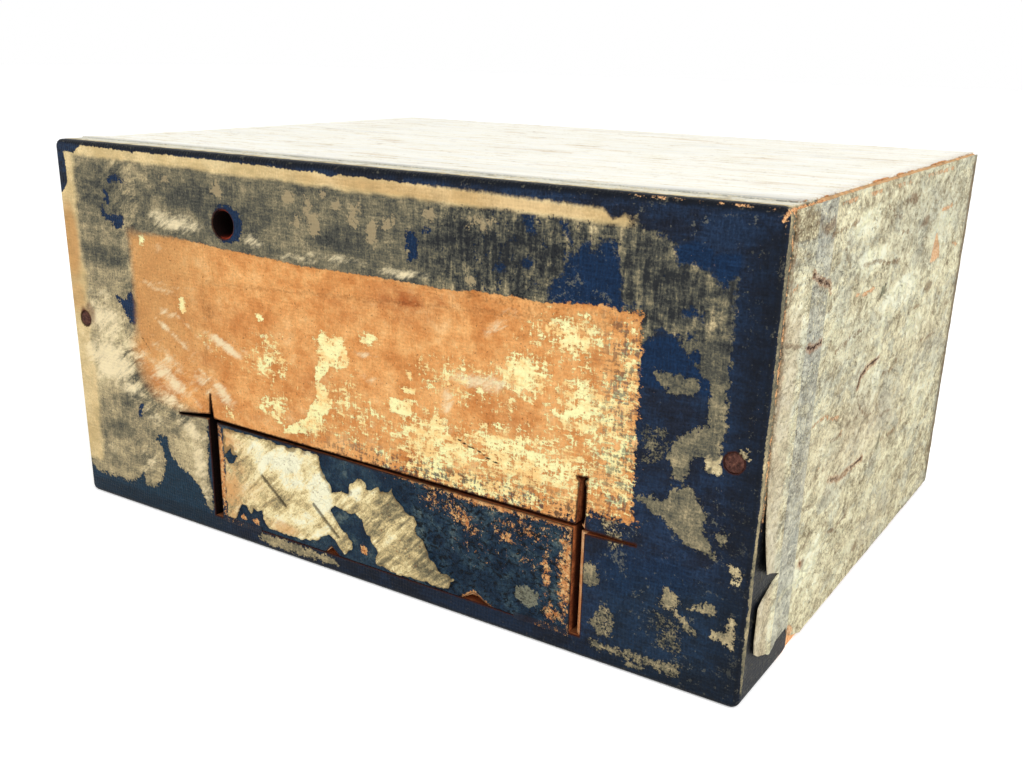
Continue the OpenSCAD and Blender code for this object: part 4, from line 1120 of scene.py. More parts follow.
def turned_fields(points):
    """What shows on the turned edges: grey worn paper at the right, pale at the top, and dark cloth in the
    gaps in front of the papers, over the base and at the left; low on the sides, under the right paper's
    lifted tongues, the grey paper is left off and the cloth is darkened in full as painted shadow. A field
    that isn't named is 0."""
    x, y, z = points.T
    back = y - CLOTH_LOW[1]
    right = smooth((x - CLOTH_HIGH[0] + 1.5) / 0.8) * smooth(z / 6)
    left = smooth((CLOTH_LOW[0] + 1.5 - x) / 0.8) * smooth(z / 6)
    side = np.maximum(right, left)
    top = smooth((z - CLOTH_HIGH[2] + 1.2) / 0.8) * (1 - side)
    patchy = waves((y + 3 * x) / 2, (z + 2 * x) / 3, 6, 31, 4)
    # Low on the sides, under the right paper's lifted tongues: here the cloth is darkened in full as
    # painted shadow.
    lifted = smooth((MARK_Z + 52 - z) / 12) * ramp(back, 1.8, 2.6)
    from_top = ramp(back, 2.2, 3.4)
    greyer = 0.14 * ramp(z, 60, 80) + 0.16 * ramp(back, 1.8, 3)
    scuffed = 0.15 + 0.3 * ramp(back, 2.2, 2.8) + 0.25 * smooth((z - TOP_Z + 1.5) / 1)
    return {
        "film": np.maximum(side * (2.6 - 5 * lifted) - 1.2, top * (2.4 * from_top + patchy) - 0.8),
        "cover": 0.97 * side + 0.92 * top * from_top,
        "tone": side * (0.6 - greyer) + 0.85 * top + 0.2 * patchy,
        "patch": -9, "spots": -9, "crack": 9, "white": top, "dust": 0.2,
        "smear": 0.85 * top * ramp(back, 2.4, 4.9), "rim": 1 - 0.5 * side * (1 - lifted),
        "bare": 0.4 * top * ramp(back, 1.4, 0.6) * ramp(x, 78, 86) + side * (1 - lifted) * scuffed,
    }


def make_front_cloth(spacing):
    """One sheet over the front, trimmed at the cuts, with its edges turned in."""
    steps = [FLAT_R * k / 3 for k in (1, 2, 3)]
    x_stops, z_stops = [FLAP_X0, CUT_X0, CUT_X1, BEVEL_X], [FLAP_FOOT, BEVEL_TOP]
    x_lines, z_lines = (
        lines_through(low, high, spacing, stops + [low + s for s in steps] + [high - s for s in steps])
        for (low, high), stops in ((FLAT_X, x_stops), (FLAT_Z, z_stops)))
    x, z, quads, tris = trimmed_grid(x_lines, z_lines, front_cut)
    x, z, _ = rounded_corners(x, z)
    fields = front_fields(x, z)
    to_border = np.minimum.reduce([x - x_lines[0], x_lines[-1] - x, z - z_lines[0], z_lines[-1] - z])
    points = on_front(x, CLOTH_LOW[1] - smooth(to_border / 1.5) * front_relief(x, z, fields), z)
    edge_points, edge_faces, edge_in = turned_edge(x_lines, z_lines)
    inward = np.concatenate([np.tile((0, 1.0, 0), (len(points), 1)), edge_in]) * WORN_T
    turned = smooth(edge_points[:, 1] - CLOTH_LOW[1])
    edge_fields = turned_fields(edge_points)
    for key, near in front_fields(edge_points[:, 0] - MARK_X, edge_points[:, 2] - MARK_Z).items():
        blended = near * (1 - turned) + edge_fields.get(key, 0) * turned
        fields[key] = np.concatenate([fields[key] + 0 * x, blended])
    parts = [quads, tris, edge_faces + len(points)]
    points = np.concatenate([points, edge_points])
    return thick_piece("front_cloth_worn", points, welded(points, parts), inward, fields, closed=False)


# The flap's cloth, its label and the hinge

def flap_edge(x, z):
    """Depth outside the flap: beyond its slanting top or in the chips at its foot."""
    top = FLAP_TOPS[0] + (x - FLAP_X0) * (FLAP_TOPS[1] - FLAP_TOPS[0]) / (FLAP_X1 - FLAP_X0)
    chips = [[(middle - width / 2 - 0.3, FLAP_FOOT - 0.2), (middle - width * 0.1, FLAP_FOOT + height + 0.3),
              (middle + width / 2 + 0.3, FLAP_FOOT - 0.2)] for middle, width, height in CHIPS]
    return np.maximum(z - top - 0.12 * waves(x, z, 5, 41), deepest(x, z, chips))


def make_flap_cloth(spacing):
    """The cloth on the flap, which stops just over the hinge."""
    foot = corner("flap_cloth", 0)[2] - MARK_Z
    ends = corner("hinge_cloth", 1)[2] - MARK_Z

    def cut(x, z):
        strips = np.minimum(ends - z, np.maximum(FLAP_X0 + STRIP - x, x - FLAP_X1 + STRIP))
        return np.maximum(flap_edge(x, z), strips)

    x, z, quads, tris = trimmed_grid(
        lines_through(FLAP_X0, FLAP_X1, spacing, [FLAP_X0 + STRIP, FLAP_X1 - STRIP]),
        lines_through(foot, FLAP_TOPS[0] + 1, spacing, [ends]), cut)
    top_gap = -flap_edge(x, z)
    ragged = 0.5 + 0.5 * waves(x, z, 2.2, 44, 3)
    to_side = np.minimum.reduce([top_gap, x - FLAP_X0, FLAP_X1 - x])
    fields = {
        "rub": np.maximum(mist(x, z, FLAP_RUBS) * 0.86, 0.7 * ramp(top_gap, 1.6, 0) * ramp(x, 134, 138)),
        "film": deepest(x, z, FLAP_SCRAPS), "pits": ramp(x, 128, 144),
        "rim": 0.9 * smooth(1 - to_side / (0.3 + 0.5 * ragged)),
    }
    relief = 0.08 * waves(x, z, 16, 42) + 0.1 * waves(x, z, 1.7, 43) * fields["pits"] - 0.06 * fields["rub"]
    points = on_front(x, FLAP_LOW[1] - relief, z)
    return thick_piece("flap_cloth_worn", points, [quads, tris], (0, WORN_T, 0), fields, closed=True)


def make_flap_label(spacing):
    """The wrinkled label remains on the flap, torn to their outline."""
    paper = corner("flap_label", 1)[1] - corner("flap_label", 0)[1]
    x_lines = np.arange(FLAP_X0 + 0.4, 157, spacing)
    z_lines = np.arange(FLAP_FOOT + 0.6, FLAP_TOPS[0], spacing)

    def cut(x, z):
        ragged = 0.85 * waves(x, z, 2.0, 51, 4) + 0.4 * waves(x, z, 5, 52, 2)
        torn = np.maximum(-depth_in(x, z, FLAP_LABEL), depth_in(x, z, FLAP_HOLE)) + ragged
        return np.maximum(torn, flap_edge(x, z) + 0.25)

    x, z, quads, tris = trimmed_grid(x_lines, z_lines, cut)
    crease = off_line(x, z, FLAP_CREASES)
    inside = -cut(x, z)
    white = clouds(x, z, LABEL_WHITE)
    fields = {
        "tone": 0.5 + 0.36 * white - 0.2 * ramp(x, 122, 136) + 0.06 * waves(x, z, 9, 53),
        "warm": np.maximum(ramp(x, 80, 68) * 0.95, clouds(x, z, LABEL_WARM)),
        "crease": crease, "inside": inside,
        "grime": smooth(1.6 - inside / 1.2) * ramp(z, 20, 26) * (0.6 + 0.8 * waves(x, z, 5, 57)),
    }
    relief = paper + 0.1 * waves(x, z, 8, 54) + 0.05 * waves(x, z, 2, 55)
    relief += 0.12 * smooth(1 - inside / 0.9) - 0.14 * np.exp(-(crease / 0.8) ** 2)
    inward = np.stack([0 * x, relief + 0.05, 0 * x], -1)
    points = on_front(x, FLAP_LOW[1] - relief, z)
    return thick_piece("flap_label_torn", points, [quads, tris], inward, fields, closed=True)


def make_hinge_cloth():
    """Two strips of cloth: flat grids, one at each end of the flap's foot."""
    pieces = []
    for x0 in (FLAP_X0, FLAP_X1 - STRIP):
        x_lines = np.linspace(x0, x0 + STRIP, 40)
        x, z, quads, _ = trimmed_grid(x_lines, FLAP_FOOT + np.linspace(-HINGE_BAND, HINGE_BAND, 13))
        bulge = 0.08 * np.cos((z - FLAP_FOOT) / HINGE_BAND * math.pi / 2) + 0.04 * waves(x, z, 1.5, 61)
        pieces.append((on_front(x, CLOTH_LOW[1] - bulge, z), quads))
    points, faces = joined(pieces)
    x = points[:, 0] - MARK_X
    fields = {"rub": 0.3 * ramp(x, 80, 76) + 0.35 * ramp(x, 178, 184), "film": -9, "pits": 0, "rim": 0.35}
    return thick_piece("hinge_cloth_strips", points, [faces], (0, CLOTH_T - 0.05, 0), fields, closed=True)


# The papers

SIDE_LIGHT = rows("""
    60,108,16,5,0,1 70,98,18,4,0,0.9 104,83,22,6,0,1 50,52,14,4,0,0.5 44,22,14,6,10,0.7 12,80,8,26,0,0.5
    10,40,6,16,0,0.8 130,70,18,6,0,0.5 88.6,74,2,22,0,0.8 150,40,20,10,0,0.3 90,60,5,6,0,0.8
    150,96,22,8,0,0.4""")
SIDE_BEIGE = rows("80,48,50,12,-4,1 110,10,40,8,0,0.7 150,60,40,8,-8,0.5")
SIDE_COOL = rows("135,104,60,14,0,1 78,58,12,6,0,0.8 60,78,26,7,0,0.6 130,90,30,5,0,0.7")
SIDE_BROWN = outlines("""
    17,113.6 24,112 31,113.4 31.6,110.6 26,109.4 22,111 | 133,79 138,82 144.6,80.4 142,78 | 36,24.6
    41,23.4 40,20.6 36.6,21.6 | 88,8.8 95,8 94,5.6 89,6.4 | 109,63 112.6,62.4 111.8,60.2 109.4,60.8 |
    116,100.6 124,100 128,103.4 120,103.6 | 180.6,116 184,116 184,3 181.6,3 | 4,116 6.2,116 5.4,96 5.6,66
    4,66 | 96,110 108,108.4 112,110.6 102,112""")
SIDE_OLIVE = outlines("81,85.7 87,86.4 86,89.4 82,88.6 | 100,36 103,41 105,40 103,35")
SIDE_CHIPS = outlines("""
    30,2.5 31.6,7 36,5.6 39,2.6 | 137,87.5 150,87.5 146,92 140,97 138.6,94 | 142,103.6 157,103.9
    156,102.7 143,102.7 | 6,100.6 10,100.9 10,99.8 6.6,99.6""")
SIDE_CHIP_LINES = outlines("""
    32.3,61.2 40,61.7 45,61.6 46.6,60.2 51.5,59 55.7,58.2 | 58,90.4 66,89.4 74,89.6 | 166,90 174,88.6 |
    36,115.4 48,115.6 | 60,115.6 69,115.5 | 84,115.6 100,115.4 | 118,115.6 150,115.4""")
SIDE_CRACKS = outlines("""
    89,67.2 84,66.8 80,67.2 76,66.4 72,65 71,62.5 | 54,41 62,38.9 66,37.9 70,38.4 77,38 86,37.8 |
    19.5,101.6 24,99.6 29,98.2 33,97.2 35.6,95.2 | 21,84.2 26,83.6 31.5,83.8 | 36.8,23.4 38.4,22.2""")
# Long brown creases in the same paper
SIDE_CREASES = outlines("""
    72,60 76,55.4 81,52.4 88,50.2 92,50.4 | 50,53.6 55,52.2 60,52.6 | 30,109 42,109.4 52,110 | 78,111
    86,107.6 94,106.4 | 96,101.6 106,101 | 60,97.6 74,97 86,94.6 98,94 | 96,61 108,60 | 120,76 134,74.6 |
    104,38 118,37 130,37.6 | 46,78 58,79.6 70,79.4 | 100,47 112,46 | 6,88 12,86.6 17,85.4 | 58,24 66,22.4
    76,23 | 140,62 150,60.8 158,61.6""")
# Marks of the sides that the picture doesn't show
PLAIN_CHIP_LINES = outlines("40,30 52,29 | 96,84 110,83")
PLAIN_CRACKS = outlines("60,70 72,69 80,71 | 120,36 134,38 | 24,96 34,95")
TEAR = rows("19.6,27.5 3,34.3 3,23.9 10,25.9")
# A side paper's back edge and top edge
BACK_D, TOP_D = 184.2, 117.5
RIGHT_OUTLINE = rows("""
    4.2,116.2 3.5,100 4.3,86.4 3.7,72.9 4,62 4,32.5 18.4,27.5 4.5,24.5 4.3,15.5 5.4,11.5 9,9.2 15.6,6.5
    18.4,5 21.4,5.9 23.2,6.9 30.4,7.5 33,3.6 38,1.6 44.4,-0.6
    """) + [(BACK_D, -0.6), (BACK_D, TOP_D), (4, TOP_D)]
PLAIN_OUTLINE = [(4.1, -0.6), (BACK_D, -0.6), (BACK_D, TOP_D), (4, TOP_D), (3.5, 90), (4.4, 60), (3.7, 30)]
# The line on which the upper torn tongue bends, and the radii of both tongues' curls
CREASE = ((4.0, 62.0), (18.4, 27.5))
CURL_UPPER, CURL_LOWER = 27.0, 126.0


def side_base(d):
    """How far the paper stands off the board: it lies on the turned cloth and steps down behind it."""
    return PAPER_T + CLOTH_T * smooth((SIDE_TURN + 0.9 - d) / 1.8)


def side_lift(d, z):
    """The two torn tongues at the foot: each is bent on a circle, from a crease from the tear up to the
    paper's edge above it, and from an upright line through the tear's end below it. The lift is the
    circle's radius less the root of the radius squared minus the distance from that line squared."""
    (p0, p1), (q0, q1) = CREASE
    length = math.hypot(q0 - p0, q1 - p1)
    beyond = ((p1 - z) * (q0 - p0) - (p0 - d) * (q1 - p1)) / length
    upper = np.clip(beyond, 0, 14) * (z > q1)
    lower = np.clip(q0 - d, 0, 15) * (z <= q1)
    return sum(r - np.sqrt(r ** 2 - away ** 2) for r, away in ((CURL_UPPER, upper), (CURL_LOWER, lower)))


def side_fields(d, z, marks):
    """What lies where on a side's paper: the right side's marks, or for the others random ones."""
    wander = waves(d, z, 6, 71 + marks) * 0.6
    band = smooth((d - 18.6 + wander) / 1.6) * smooth((32.5 - d + wander * 0.5) / 1.6)
    if marks:
        chip = waves(d, z, 17, 91 + marks, 4) * 3 - 1.9
        return {
            "light": 0.45 + 0.5 * waves(d, z, 22, 81 + marks),
            "brown": waves(d, z, 14, 95 + marks, 4) * 6 - 3.6,
            "chip": np.maximum(chip, 0.45 - off_line(d, z, PLAIN_CHIP_LINES)),
            "crack": off_line(d, z, PLAIN_CRACKS), "crease": off_line(d, z, SIDE_CREASES[marks::3]),
            "olive": -9, "band": band, "shadow": 0, "beige": 0, "cool": 0, "dots": 0.3,
        }
    hidden = smooth((side_lift(d, z) - 0.05) / 0.5)
    back_edge = ramp(d, 173, 178)
    light = np.maximum(0.9 * clouds(d, z, SIDE_LIGHT) + 0.24, 0.75 * hidden) - 0.3 * back_edge
    front_strip = 0.8 * ramp(d, 17, 13) * ramp(z, 100, 90)
    return {
        "light": light - 0.2 * ramp(z, 4, -1) - 0.35 * ramp(d, 34, 28) * ramp(z, 102, 108),
        "band": band * (1 - hidden), "brown": deepest(d, z, SIDE_BROWN), "olive": deepest(d, z, SIDE_OLIVE),
        "chip": np.maximum(deepest(d, z, SIDE_CHIPS), 0.4 - off_line(d, z, SIDE_CHIP_LINES)),
        "crack": off_line(d, z, SIDE_CRACKS), "crease": off_line(d, z, SIDE_CREASES),
        "dots": ramp(d, 64, 38) * ramp(z, 40, 50), "cool": 0.8 * mist(d, z, SIDE_COOL),
        "beige": np.maximum.reduce([hidden, front_strip, 0.6 * mist(d, z, SIDE_BEIGE)]),
        "shadow": 0.5 * back_edge * ramp(d, 178, 182) + 0.3 * ramp(d, 3.2, 2.2) * hidden,
    }


def make_side_paper(name, side, spacing, marks):
    """A side's paper, trimmed to its ragged outline; the right one is torn and lifts at its foot."""
    torn = marks == 0
    d_lines, z_lines = lines_through(2.4, BACK_D + 1, spacing), lines_through(-1.2, TOP_D + 0.6, spacing)
    outline = RIGHT_OUTLINE if torn else PLAIN_OUTLINE

    def cut(d, z):
        ragged = 0.3 * waves(d, z, 2.2, 62 + marks, 2)
        outside = -depth_in(d, z, outline) + np.abs(ragged)
        return np.maximum(outside, depth_in(d, z, TEAR)) if torn else outside

    d, z, quads, tris = trimmed_grid(d_lines, z_lines, cut)
    fields = side_fields(d, z, marks)
    lift = side_lift(d, z) if torn else 0 * d
    edge = smooth(1 - np.abs(cut(d, z)) / 1.2)
    flakes = 0.1 * np.round(waves(d / 2, z, 6, 63 + marks, 3) * 2) / 2
    sunk = -0.18 * smooth(fields["chip"] / 0.6 + 0.5) - 0.2 * np.exp(-(fields["crack"] / 0.5) ** 2)
    relief = np.maximum(flakes + sunk + 0.05 * edge + 0.03 * waves(d, z, 1.6, 64), -0.24)
    off = side_base(d) + lift + relief
    points = np.stack([side * (SIDE_X + off), FRONT + d, MARK_Z + z], -1)
    thick = np.where(lift > 0.1, PAPER_T, PAPER_T + relief - 0.02)
    inward = np.stack([-side * np.maximum(thick, 0.05), 0 * d, 0 * d], -1)
    faces = [part[:, ::side] for part in (quads, tris)]
    return thick_piece(name, points, faces, inward, fields, closed=True)


def make_flat_paper(name, low, high, spacing, to_space, relief_of, fields_of, up):
    """A sheet on the back or top between two corners: to_space places (u, v, height), relief_of gives the
    height, and up is +1 where the sheet's outer side faces up in (u, v), else -1."""
    middle, half = np.add(low, high) / 2, np.subtract(high, low) / 2 - 0.3

    def cut(u, v):
        beyond = np.maximum(np.abs(u - middle[0]) - half[0], np.abs(v - middle[1]) - half[1])
        return beyond + 0.5 * np.abs(waves(u, v, 3, 65, 3))

    u, v, quads, tris = trimmed_grid(*(lines_through(low[k], high[k], spacing) for k in (0, 1)), cut)
    points = to_space(u, v, relief_of(u, v))
    faces = [part[:, ::up] for part in (quads, tris)]
    return thick_piece(name, points, faces, to_space(0, 0, -PAPER_T), fields_of(u, v), closed=True)


def make_top_paper(spacing):
    """The top's sheet, which laps over the turned cloth and is worn through along its right edge."""
    low, high = corner("top_paper", 0) - (1.2, 0, 0), corner("top_paper", 1) + (1.2, 0.9, 0)
    step_at = FRONT + TOP_TURN

    def relief(u, v):
        lap = CLOTH_T * smooth((step_at + 0.9 - v) / 1.8)
        return TOP_Z + PAPER_T + lap + 0.04 * waves(u / 4, v, 4, 66, 3)

    def fields(u, v):
        back = v - low[1]
        grey = 0.7 * ramp(back, 5, 0)
        right = smooth((u - high[0] + 60) / 60)
        to_edge = high[0] - u
        by_edge = np.maximum(ramp(to_edge, 5, 0), smooth((v - high[1] + 3) / 3))
        return {
            "grey": grey + 0.45 * right * ramp(back, 16, 6) + 0.16 * waves(u / 5, v, 9, 67),
            "brown": by_edge * 0.5 + np.maximum(0, waves(u / 6, v, 7, 68, 4) - 0.3) * (0.4 + 0.7 * right),
            "chip": ramp(back, 22, 30) * (1.6 * waves(v / 1.6, u, 5, 69, 3) - 0.1) - to_edge,
        }

    return make_flat_paper("top_paper_worn", low[:2], high[:2], spacing,
                           lambda u, v, h: np.stack([u, v, h], -1), relief, fields, 1)


def make_back_paper(spacing):
    """The back's sheet, flaking like the sides."""
    low, high = corner("back_paper", 0) - (1.9, 0, 0.6), corner("back_paper", 1) + (1.9, 0, 0.9)

    def relief(u, v):
        return high[1] + 0.08 * np.round(waves(u / 2, v, 6, 69) * 2) / 2

    return make_flat_paper("back_paper_worn", low[::2], high[::2], spacing,
                           lambda u, v, h: np.stack([u, h, v], -1), relief,
                           lambda u, v: side_fields(u - low[0] + 36, v, 3), -1)


# Nails

def make_nails(name, y, seed):
    """Front nails: a profile of head and shank turned about the nail's axis, its radius and height varied
    by waves round the head, as hand driven rusty heads are."""
    head = bpy.context.scene.collection_box.nail_head / MM / 2
    profile = np.array(rows("""
        0,-0.62 0.35,-0.62 0.62,-0.6 0.8,-0.52 0.93,-0.38 1,-0.2 0.98,0 0.44,0.02 0.44,20 0.2,27 0,28"""))
    radius, depth = profile[:, :1] * head, profile[:, 1:]
    around = np.linspace(0, 2 * math.pi, 49)[:-1]
    c, s = np.cos(around), np.sin(around)
    index = np.arange(len(profile) * len(around)).reshape(len(profile), len(around))
    after = np.roll(index, -1, 1)
    faces = np.stack([index[:-1], after[:-1], after[1:], index[1:]], -1).reshape(-1, 4)
    pieces = []
    for k, x in enumerate(NAILS_X):
        wobble = 1 + 0.035 * waves(c * 2 + 0 * radius, s * 2 + radius, 1.2, seed + k)
        r = radius * np.where(depth < 1, wobble, 1)
        dent = 0.07 * waves(r * c, r * s, 1.1, seed + 7 + k) * (depth < 0)
        points = on_front(x + r * c, y + depth + dent, NAIL_Z + r * s)
        pieces.append((points.reshape(-1, 3), faces))
    points, faces = joined(pieces)
    return mesh_object(name, points, welded(points, [faces]))


# Settings

class CollectionBoxSettings(bpy.types.PropertyGroup):
    """Sizes and colours that a user would change."""

    front_spacing: FloatProperty(
        name="Front grid", description="Distance between points on the front cloth", default=0.62 * MM,
        min=0.4 * MM, unit="LENGTH")
    paper_spacing: FloatProperty(
        name="Paper grid", description="Distance between points on the papers", default=0.75 * MM,
        min=0.5 * MM, unit="LENGTH")
    flap_spacing: FloatProperty(
        name="Flap grid", description="Distance between points on the flap", default=0.42 * MM,
        min=0.3 * MM, unit="LENGTH")
    nail_head: FloatProperty(
        name="Nail head", description="Diameter of a front nail's head", default=4.9 * MM, unit="LENGTH")
    cloth_dark: FloatVectorProperty(
        name="Cloth, dark", description="Blue cloth where it is dirty", subtype="COLOR", size=3,
        default=srgb(25, 31, 44)[:3], min=0, max=1)
    cloth_bright: FloatVectorProperty(
        name="Cloth, bright", description="Blue cloth where it is clean", subtype="COLOR", size=3,
        default=srgb(30, 46, 69)[:3], min=0, max=1)


class StageSettings(bpy.types.PropertyGroup):
    """Camera and light."""

    focal_length: FloatProperty(
        name="Focal length", description="Focal length on a 36 mm sensor", default=38.7,
        subtype="DISTANCE_CAMERA")
    camera_place: FloatVectorProperty(
        name="Camera", description="Where the camera stands", size=3, subtype="TRANSLATION",
        default=(0.19655, -0.31615, 0.1497))
    view_along: FloatVectorProperty(
        name="View", description="Direction in which the camera looks", size=3, subtype="DIRECTION",
        default=(-0.515, 0.7881, -0.3372))
    view_up: FloatVectorProperty(
        name="Up", description="Direction that is up in the picture", size=3, subtype="DIRECTION",
        default=(-0.2016, 0.2709, 0.9412))
    view_shift: FloatVectorProperty(
        name="Shift", description="Shift of the picture, as a share of its width", size=2,
        default=(0.0135, 0.0577))
    sky_level: FloatProperty(name="Sky", description="Strength of the light all round", default=0.86)
    lamp_power: FloatProperty(
        name="Lamp", description="Power of the large lamp overhead", default=8.2, unit="POWER")


# Operators

class MakeFrontCloth(bpy.types.Operator):
    """Make the worn blue cloth over the front, with its label remains and turned edges"""

    bl_idname = "collection_box.front_cloth"
    bl_label = "Front cloth"

    def execute(self, context):
        piece = make_front_cloth(context.scene.collection_box.front_spacing / MM)
        coat(piece, cloth_material())
        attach(piece, "case")
        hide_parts("front_cloth", "front_label")
        return {"FINISHED"}


class MakeFlapCovering(bpy.types.Operator):
    """Make the flap's pitted cloth, its torn label and the strips of cloth that it hangs on"""

    bl_idname = "collection_box.flap_covering"
    bl_label = "Flap covering"

    def execute(self, context):
        spacing = context.scene.collection_box.flap_spacing / MM
        cloth = coat(make_flap_cloth(spacing), flap_material())
        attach(cloth, "flap")
        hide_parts("flap_cloth")
        label = coat(make_flap_label(spacing), label_material())
        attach(label, "flap")
        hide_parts("flap_label")
        strips = coat(make_hinge_cloth(), bpy.data.materials["pitted flap cloth"])
        (HINGE_Z - HINGE_BAND) * MM
        (HINGE_Z + HINGE_BAND) * MM
        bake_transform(strips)
        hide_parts("hinge_cloth")
        return {"FINISHED"}


class MakePapers(bpy.types.Operator):
    """Make the crackled papers on the sides and back and the top paper, whose pale colour is partly painted
    sheen
    """

    bl_idname = "collection_box.papers"
    bl_label = "Papers"

    def execute(self, context):
        spacing = context.scene.collection_box.paper_spacing / MM
        coarser, coarsest = spacing * 1.3, spacing * 1.35
        sheets = [
            (make_side_paper("right_paper_torn", 1, spacing, 0), "right_paper", 0),
            (make_side_paper("left_paper_worn", -1, coarser, 1), "left_paper", 1),
            (make_back_paper(coarser), "back_paper", 2),
        ]
        for piece, node, seed in sheets:
            coat(piece, paper_material(node.replace("_", " "), seed))
            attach(piece, "case")
            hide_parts(node)
        top = coat(make_top_paper(coarsest), top_material())
        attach(top, "case")
        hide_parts("top_paper")
        return {"FINISHED"}


class MakeNails(bpy.types.Operator):
    """Make the two rusty nails of the front"""

    bl_idname = "collection_box.nails"
    bl_label = "Front nails"

    def execute(self, context):
        nails = coat(make_nails("front_nails_rusty", BOARD_Y, 101), rust_material())
        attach(nails, "case")
        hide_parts("front_nails")
        return {"FINISHED"}


class FinishBoards(bpy.types.Operator):
    """Give the boards, pins and base their finishes"""

    bl_idname = "collection_box.boards"
    bl_label = "Boards"

    def execute(self, context):
        nodes = frame["nodes"]
        ahead = BOARD_Y - 1
        # The bevel beside the right cut: bare wood, whose pale colour also stands for painted light on it.
        bevel = ((MARK_X + CUT_X1 - 0.1, ahead, HINGE_Z),
                 (MARK_X + BEVEL_X + 0.2, BOARD_Y + 1.7, MARK_Z + BEVEL_TOP + 0.2))
        chips = [
            ((MARK_X + middle - width / 2, ahead, HINGE_Z),
             (MARK_X + middle + width / 2, BOARD_Y + 2.6, HINGE_Z + height))
            for middle, width, height in CHIPS]
        end = ((SIDE_X - 1.6, FRONT + 28, -1), (SIDE_X + 1, FRONT + 46, 7))
        dark = (108, 58, 36)
        hole = (MARK_X + HOLE_AT[0], MARK_Z + HOLE_AT[1], HOLE_R)
        # The sawn boards get painted shade on their cut faces past the given depth, and the round hole gets
        # painted shade on its wall.
        sawn = wood_material(
            "sawn front wood", (178, 106, 64), dark, kerf_shade=0.98, unshaded_depth=-0.2, unshaded_more=2.2,
            pale_spots=[bevel], hole=hole)
        flap = wood_material(
            "sawn flap wood", (196, 118, 70), dark, kerf_shade=0.92, unshaded_depth=0.3, unshaded_more=0.5,
            pale_spots=chips)
        inner = wood_material("bare inner wood", (176, 112, 68), (96, 52, 32), pale_spots=[end])
        pale = wood_material("bare top wood", (226, 176, 124), (186, 150, 108))
        sides = wood_material("bare side wood", (222, 160, 108), (160, 98, 60), turn=(0, 0, math.pi / 2))
        coat(nodes["front_board"], sawn)
        coat(nodes["flap_board"], flap)
        for name in ("flap_stop", "bottom_board"):
            coat(nodes[name], inner)
        coat(nodes["top_board"], pale)
        for name in ("left_board", "right_board", "back_board"):
            coat(nodes[name], sides)
        for name in ("back_nails", "top_pins", "bottom_pins"):
            coat(nodes[name], bpy.data.materials["rusty iron"])
        coat(nodes["bottom_paper"], base_material())
        return {"FINISHED"}


class MakeStage(bpy.types.Operator):
    """Make the pale floor, the light and the camera"""

    bl_idname = "collection_box.stage"
    bl_label = "Stage"

    def execute(self, context):
        stage = context.scene.collection_stage
        make_floor()
        make_light(stage)
        make_camera(stage)
        context.scene.view_settings.view_transform = "Standard"
        return {"FINISHED"}


def make_floor():
    """A wide flat floor, slightly under the base, which keeps the object's shadow and is lifted to white
    where the camera or a reflection sees it."""
    reach, under = 6000.0, -0.02
    points = np.array([(x * reach, y * reach, under) for x, y in ((-1, -1), (1, -1), (1, 1), (-1, 1))])
    b = new_material("pale floor")
    shader = b.made("ShaderNodeBsdfDiffuse", 0, [("Color", (0.9, 0.9, 0.9, 1)), ("Roughness", 0.5)])
    seen = b.most(*(b.made("ShaderNodeLightPath", ray, []) for ray in ("Is Camera Ray", "Is Glossy Ray")))
    lift = b.made("ShaderNodeEmission", 0, [("Color", (1, 1, 1, 1)), ("Strength", seen * 0.3)])
    both = b.made("ShaderNodeAddShader", 0, [(0, shader), (1, lift)])
    b.node("ShaderNodeOutputMaterial", [("Surface", both)])
    floor = coat(mesh_object("floor", points, [np.array([[0, 1, 2, 3]])]), b.owner)


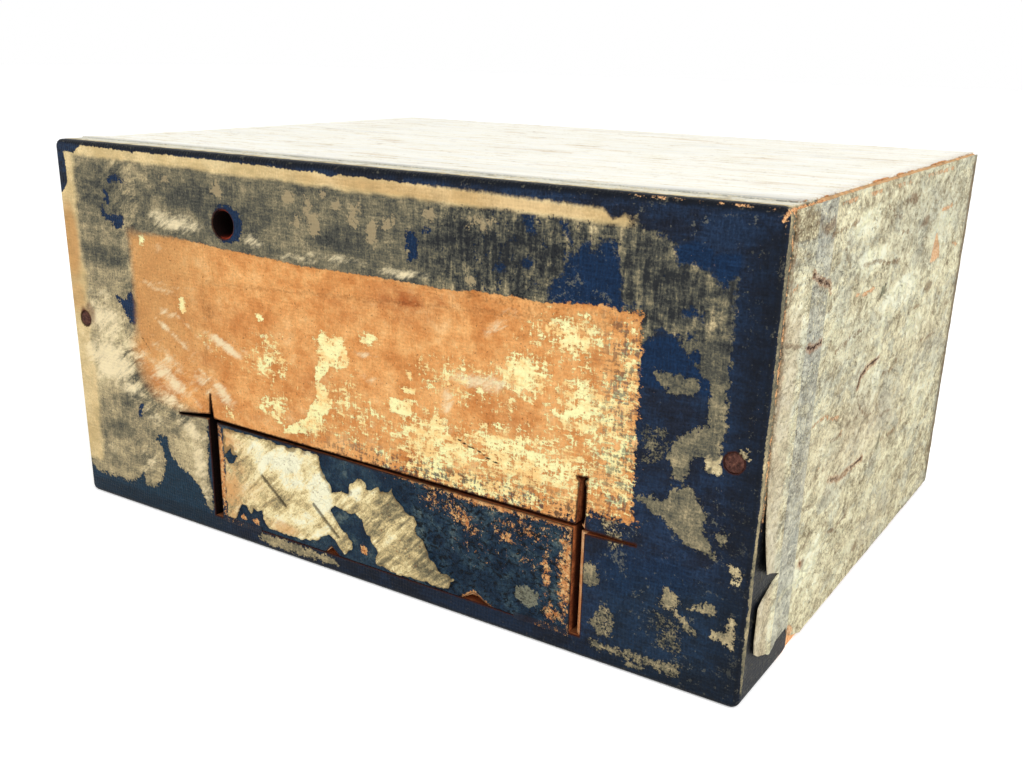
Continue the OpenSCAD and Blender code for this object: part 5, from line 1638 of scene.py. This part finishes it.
def make_light(stage):
    """Light from all round, white to the camera, and one large soft lamp overhead."""
    world = bpy.data.worlds.new("studio")
    bpy.context.scene.world = world
    b = new_bench(world)
    plain, white = (
        b.made("ShaderNodeBackground", 0, [("Color", (1, 1, 1, 1)), ("Strength", level)])
        for level in (stage.sky_level, 1.0))
    seen = b.made("ShaderNodeLightPath", "Is Camera Ray", [])
    both = b.made("ShaderNodeMixShader", 0, [(0, seen), (1, plain), (2, white)])
    b.node("ShaderNodeOutputWorld", [("Surface", both)])
    lamp = bpy.data.lights.new("overhead", "AREA")
    lamp.shape, lamp.size, lamp.size_y, lamp.energy = "RECTANGLE", 0.9, 0.7, stage.lamp_power
    holder = bpy.data.objects.new("overhead", lamp)
    holder.location = (0.9, -0.6, 0.9)
    holder.rotation_euler = (Vector((0, 0, 0.05)) - holder.location).to_track_quat("-Z", "Y").to_euler()
    bpy.context.scene.collection.objects.link(holder)


def make_camera(stage):
    """The camera where the picture was taken from."""
    data = bpy.data.cameras.new("camera")
    data.lens, data.sensor_width, data.sensor_fit = stage.focal_length, 36.0, "HORIZONTAL"
    data.shift_x, data.shift_y = stage.view_shift
    data.clip_start, data.clip_end = 0.01, 50.0
    camera = bpy.data.objects.new("camera", data)
    back = -Vector(stage.view_along).normalized()
    right = Vector(stage.view_up).cross(back).normalized()
    up = back.cross(right)
    turned = Matrix((right, up, back)).transposed().to_4x4()
    camera.matrix_world = Matrix.Translation(stage.camera_place) @ turned
    bpy.context.scene.collection.objects.link(camera)
    bpy.context.scene.camera = camera


class CollectionBoxPanel(bpy.types.Panel):
    """The box's operators and settings"""

    bl_idname = "VIEW3D_PT_collection_box"
    bl_label = "Collection Box"
    bl_space_type = "VIEW_3D"
    bl_region_type = "UI"
    bl_category = "Collection Box"

    def draw(self, context):
        for maker in MAKERS:
            self.layout.operator(maker.bl_idname)
        for settings in (context.scene.collection_box, context.scene.collection_stage):
            for key in settings.__annotations__:
                self.layout.prop(settings, key)


MAKERS = (MakeFrontCloth, MakeFlapCovering, MakePapers, MakeNails, FinishBoards, MakeStage)
CLASSES = (CollectionBoxSettings, StageSettings) + MAKERS + (CollectionBoxPanel,)


def register():
    for cls in CLASSES:
        bpy.utils.register_class(cls)
    bpy.types.Scene.collection_box = PointerProperty(type=CollectionBoxSettings)
    bpy.types.Scene.collection_stage = PointerProperty(type=StageSettings)


def unregister():
    del bpy.types.Scene.collection_stage
    del bpy.types.Scene.collection_box
    for cls in reversed(CLASSES):
        bpy.utils.unregister_class(cls)


def main():
    register()
    build_groups()
    for maker in MAKERS:
        group, name = maker.bl_idname.split(".")
        getattr(getattr(bpy.ops, group), name)()
    bpy.context.view_layer.update()


if __name__ == "__main__":
    main()
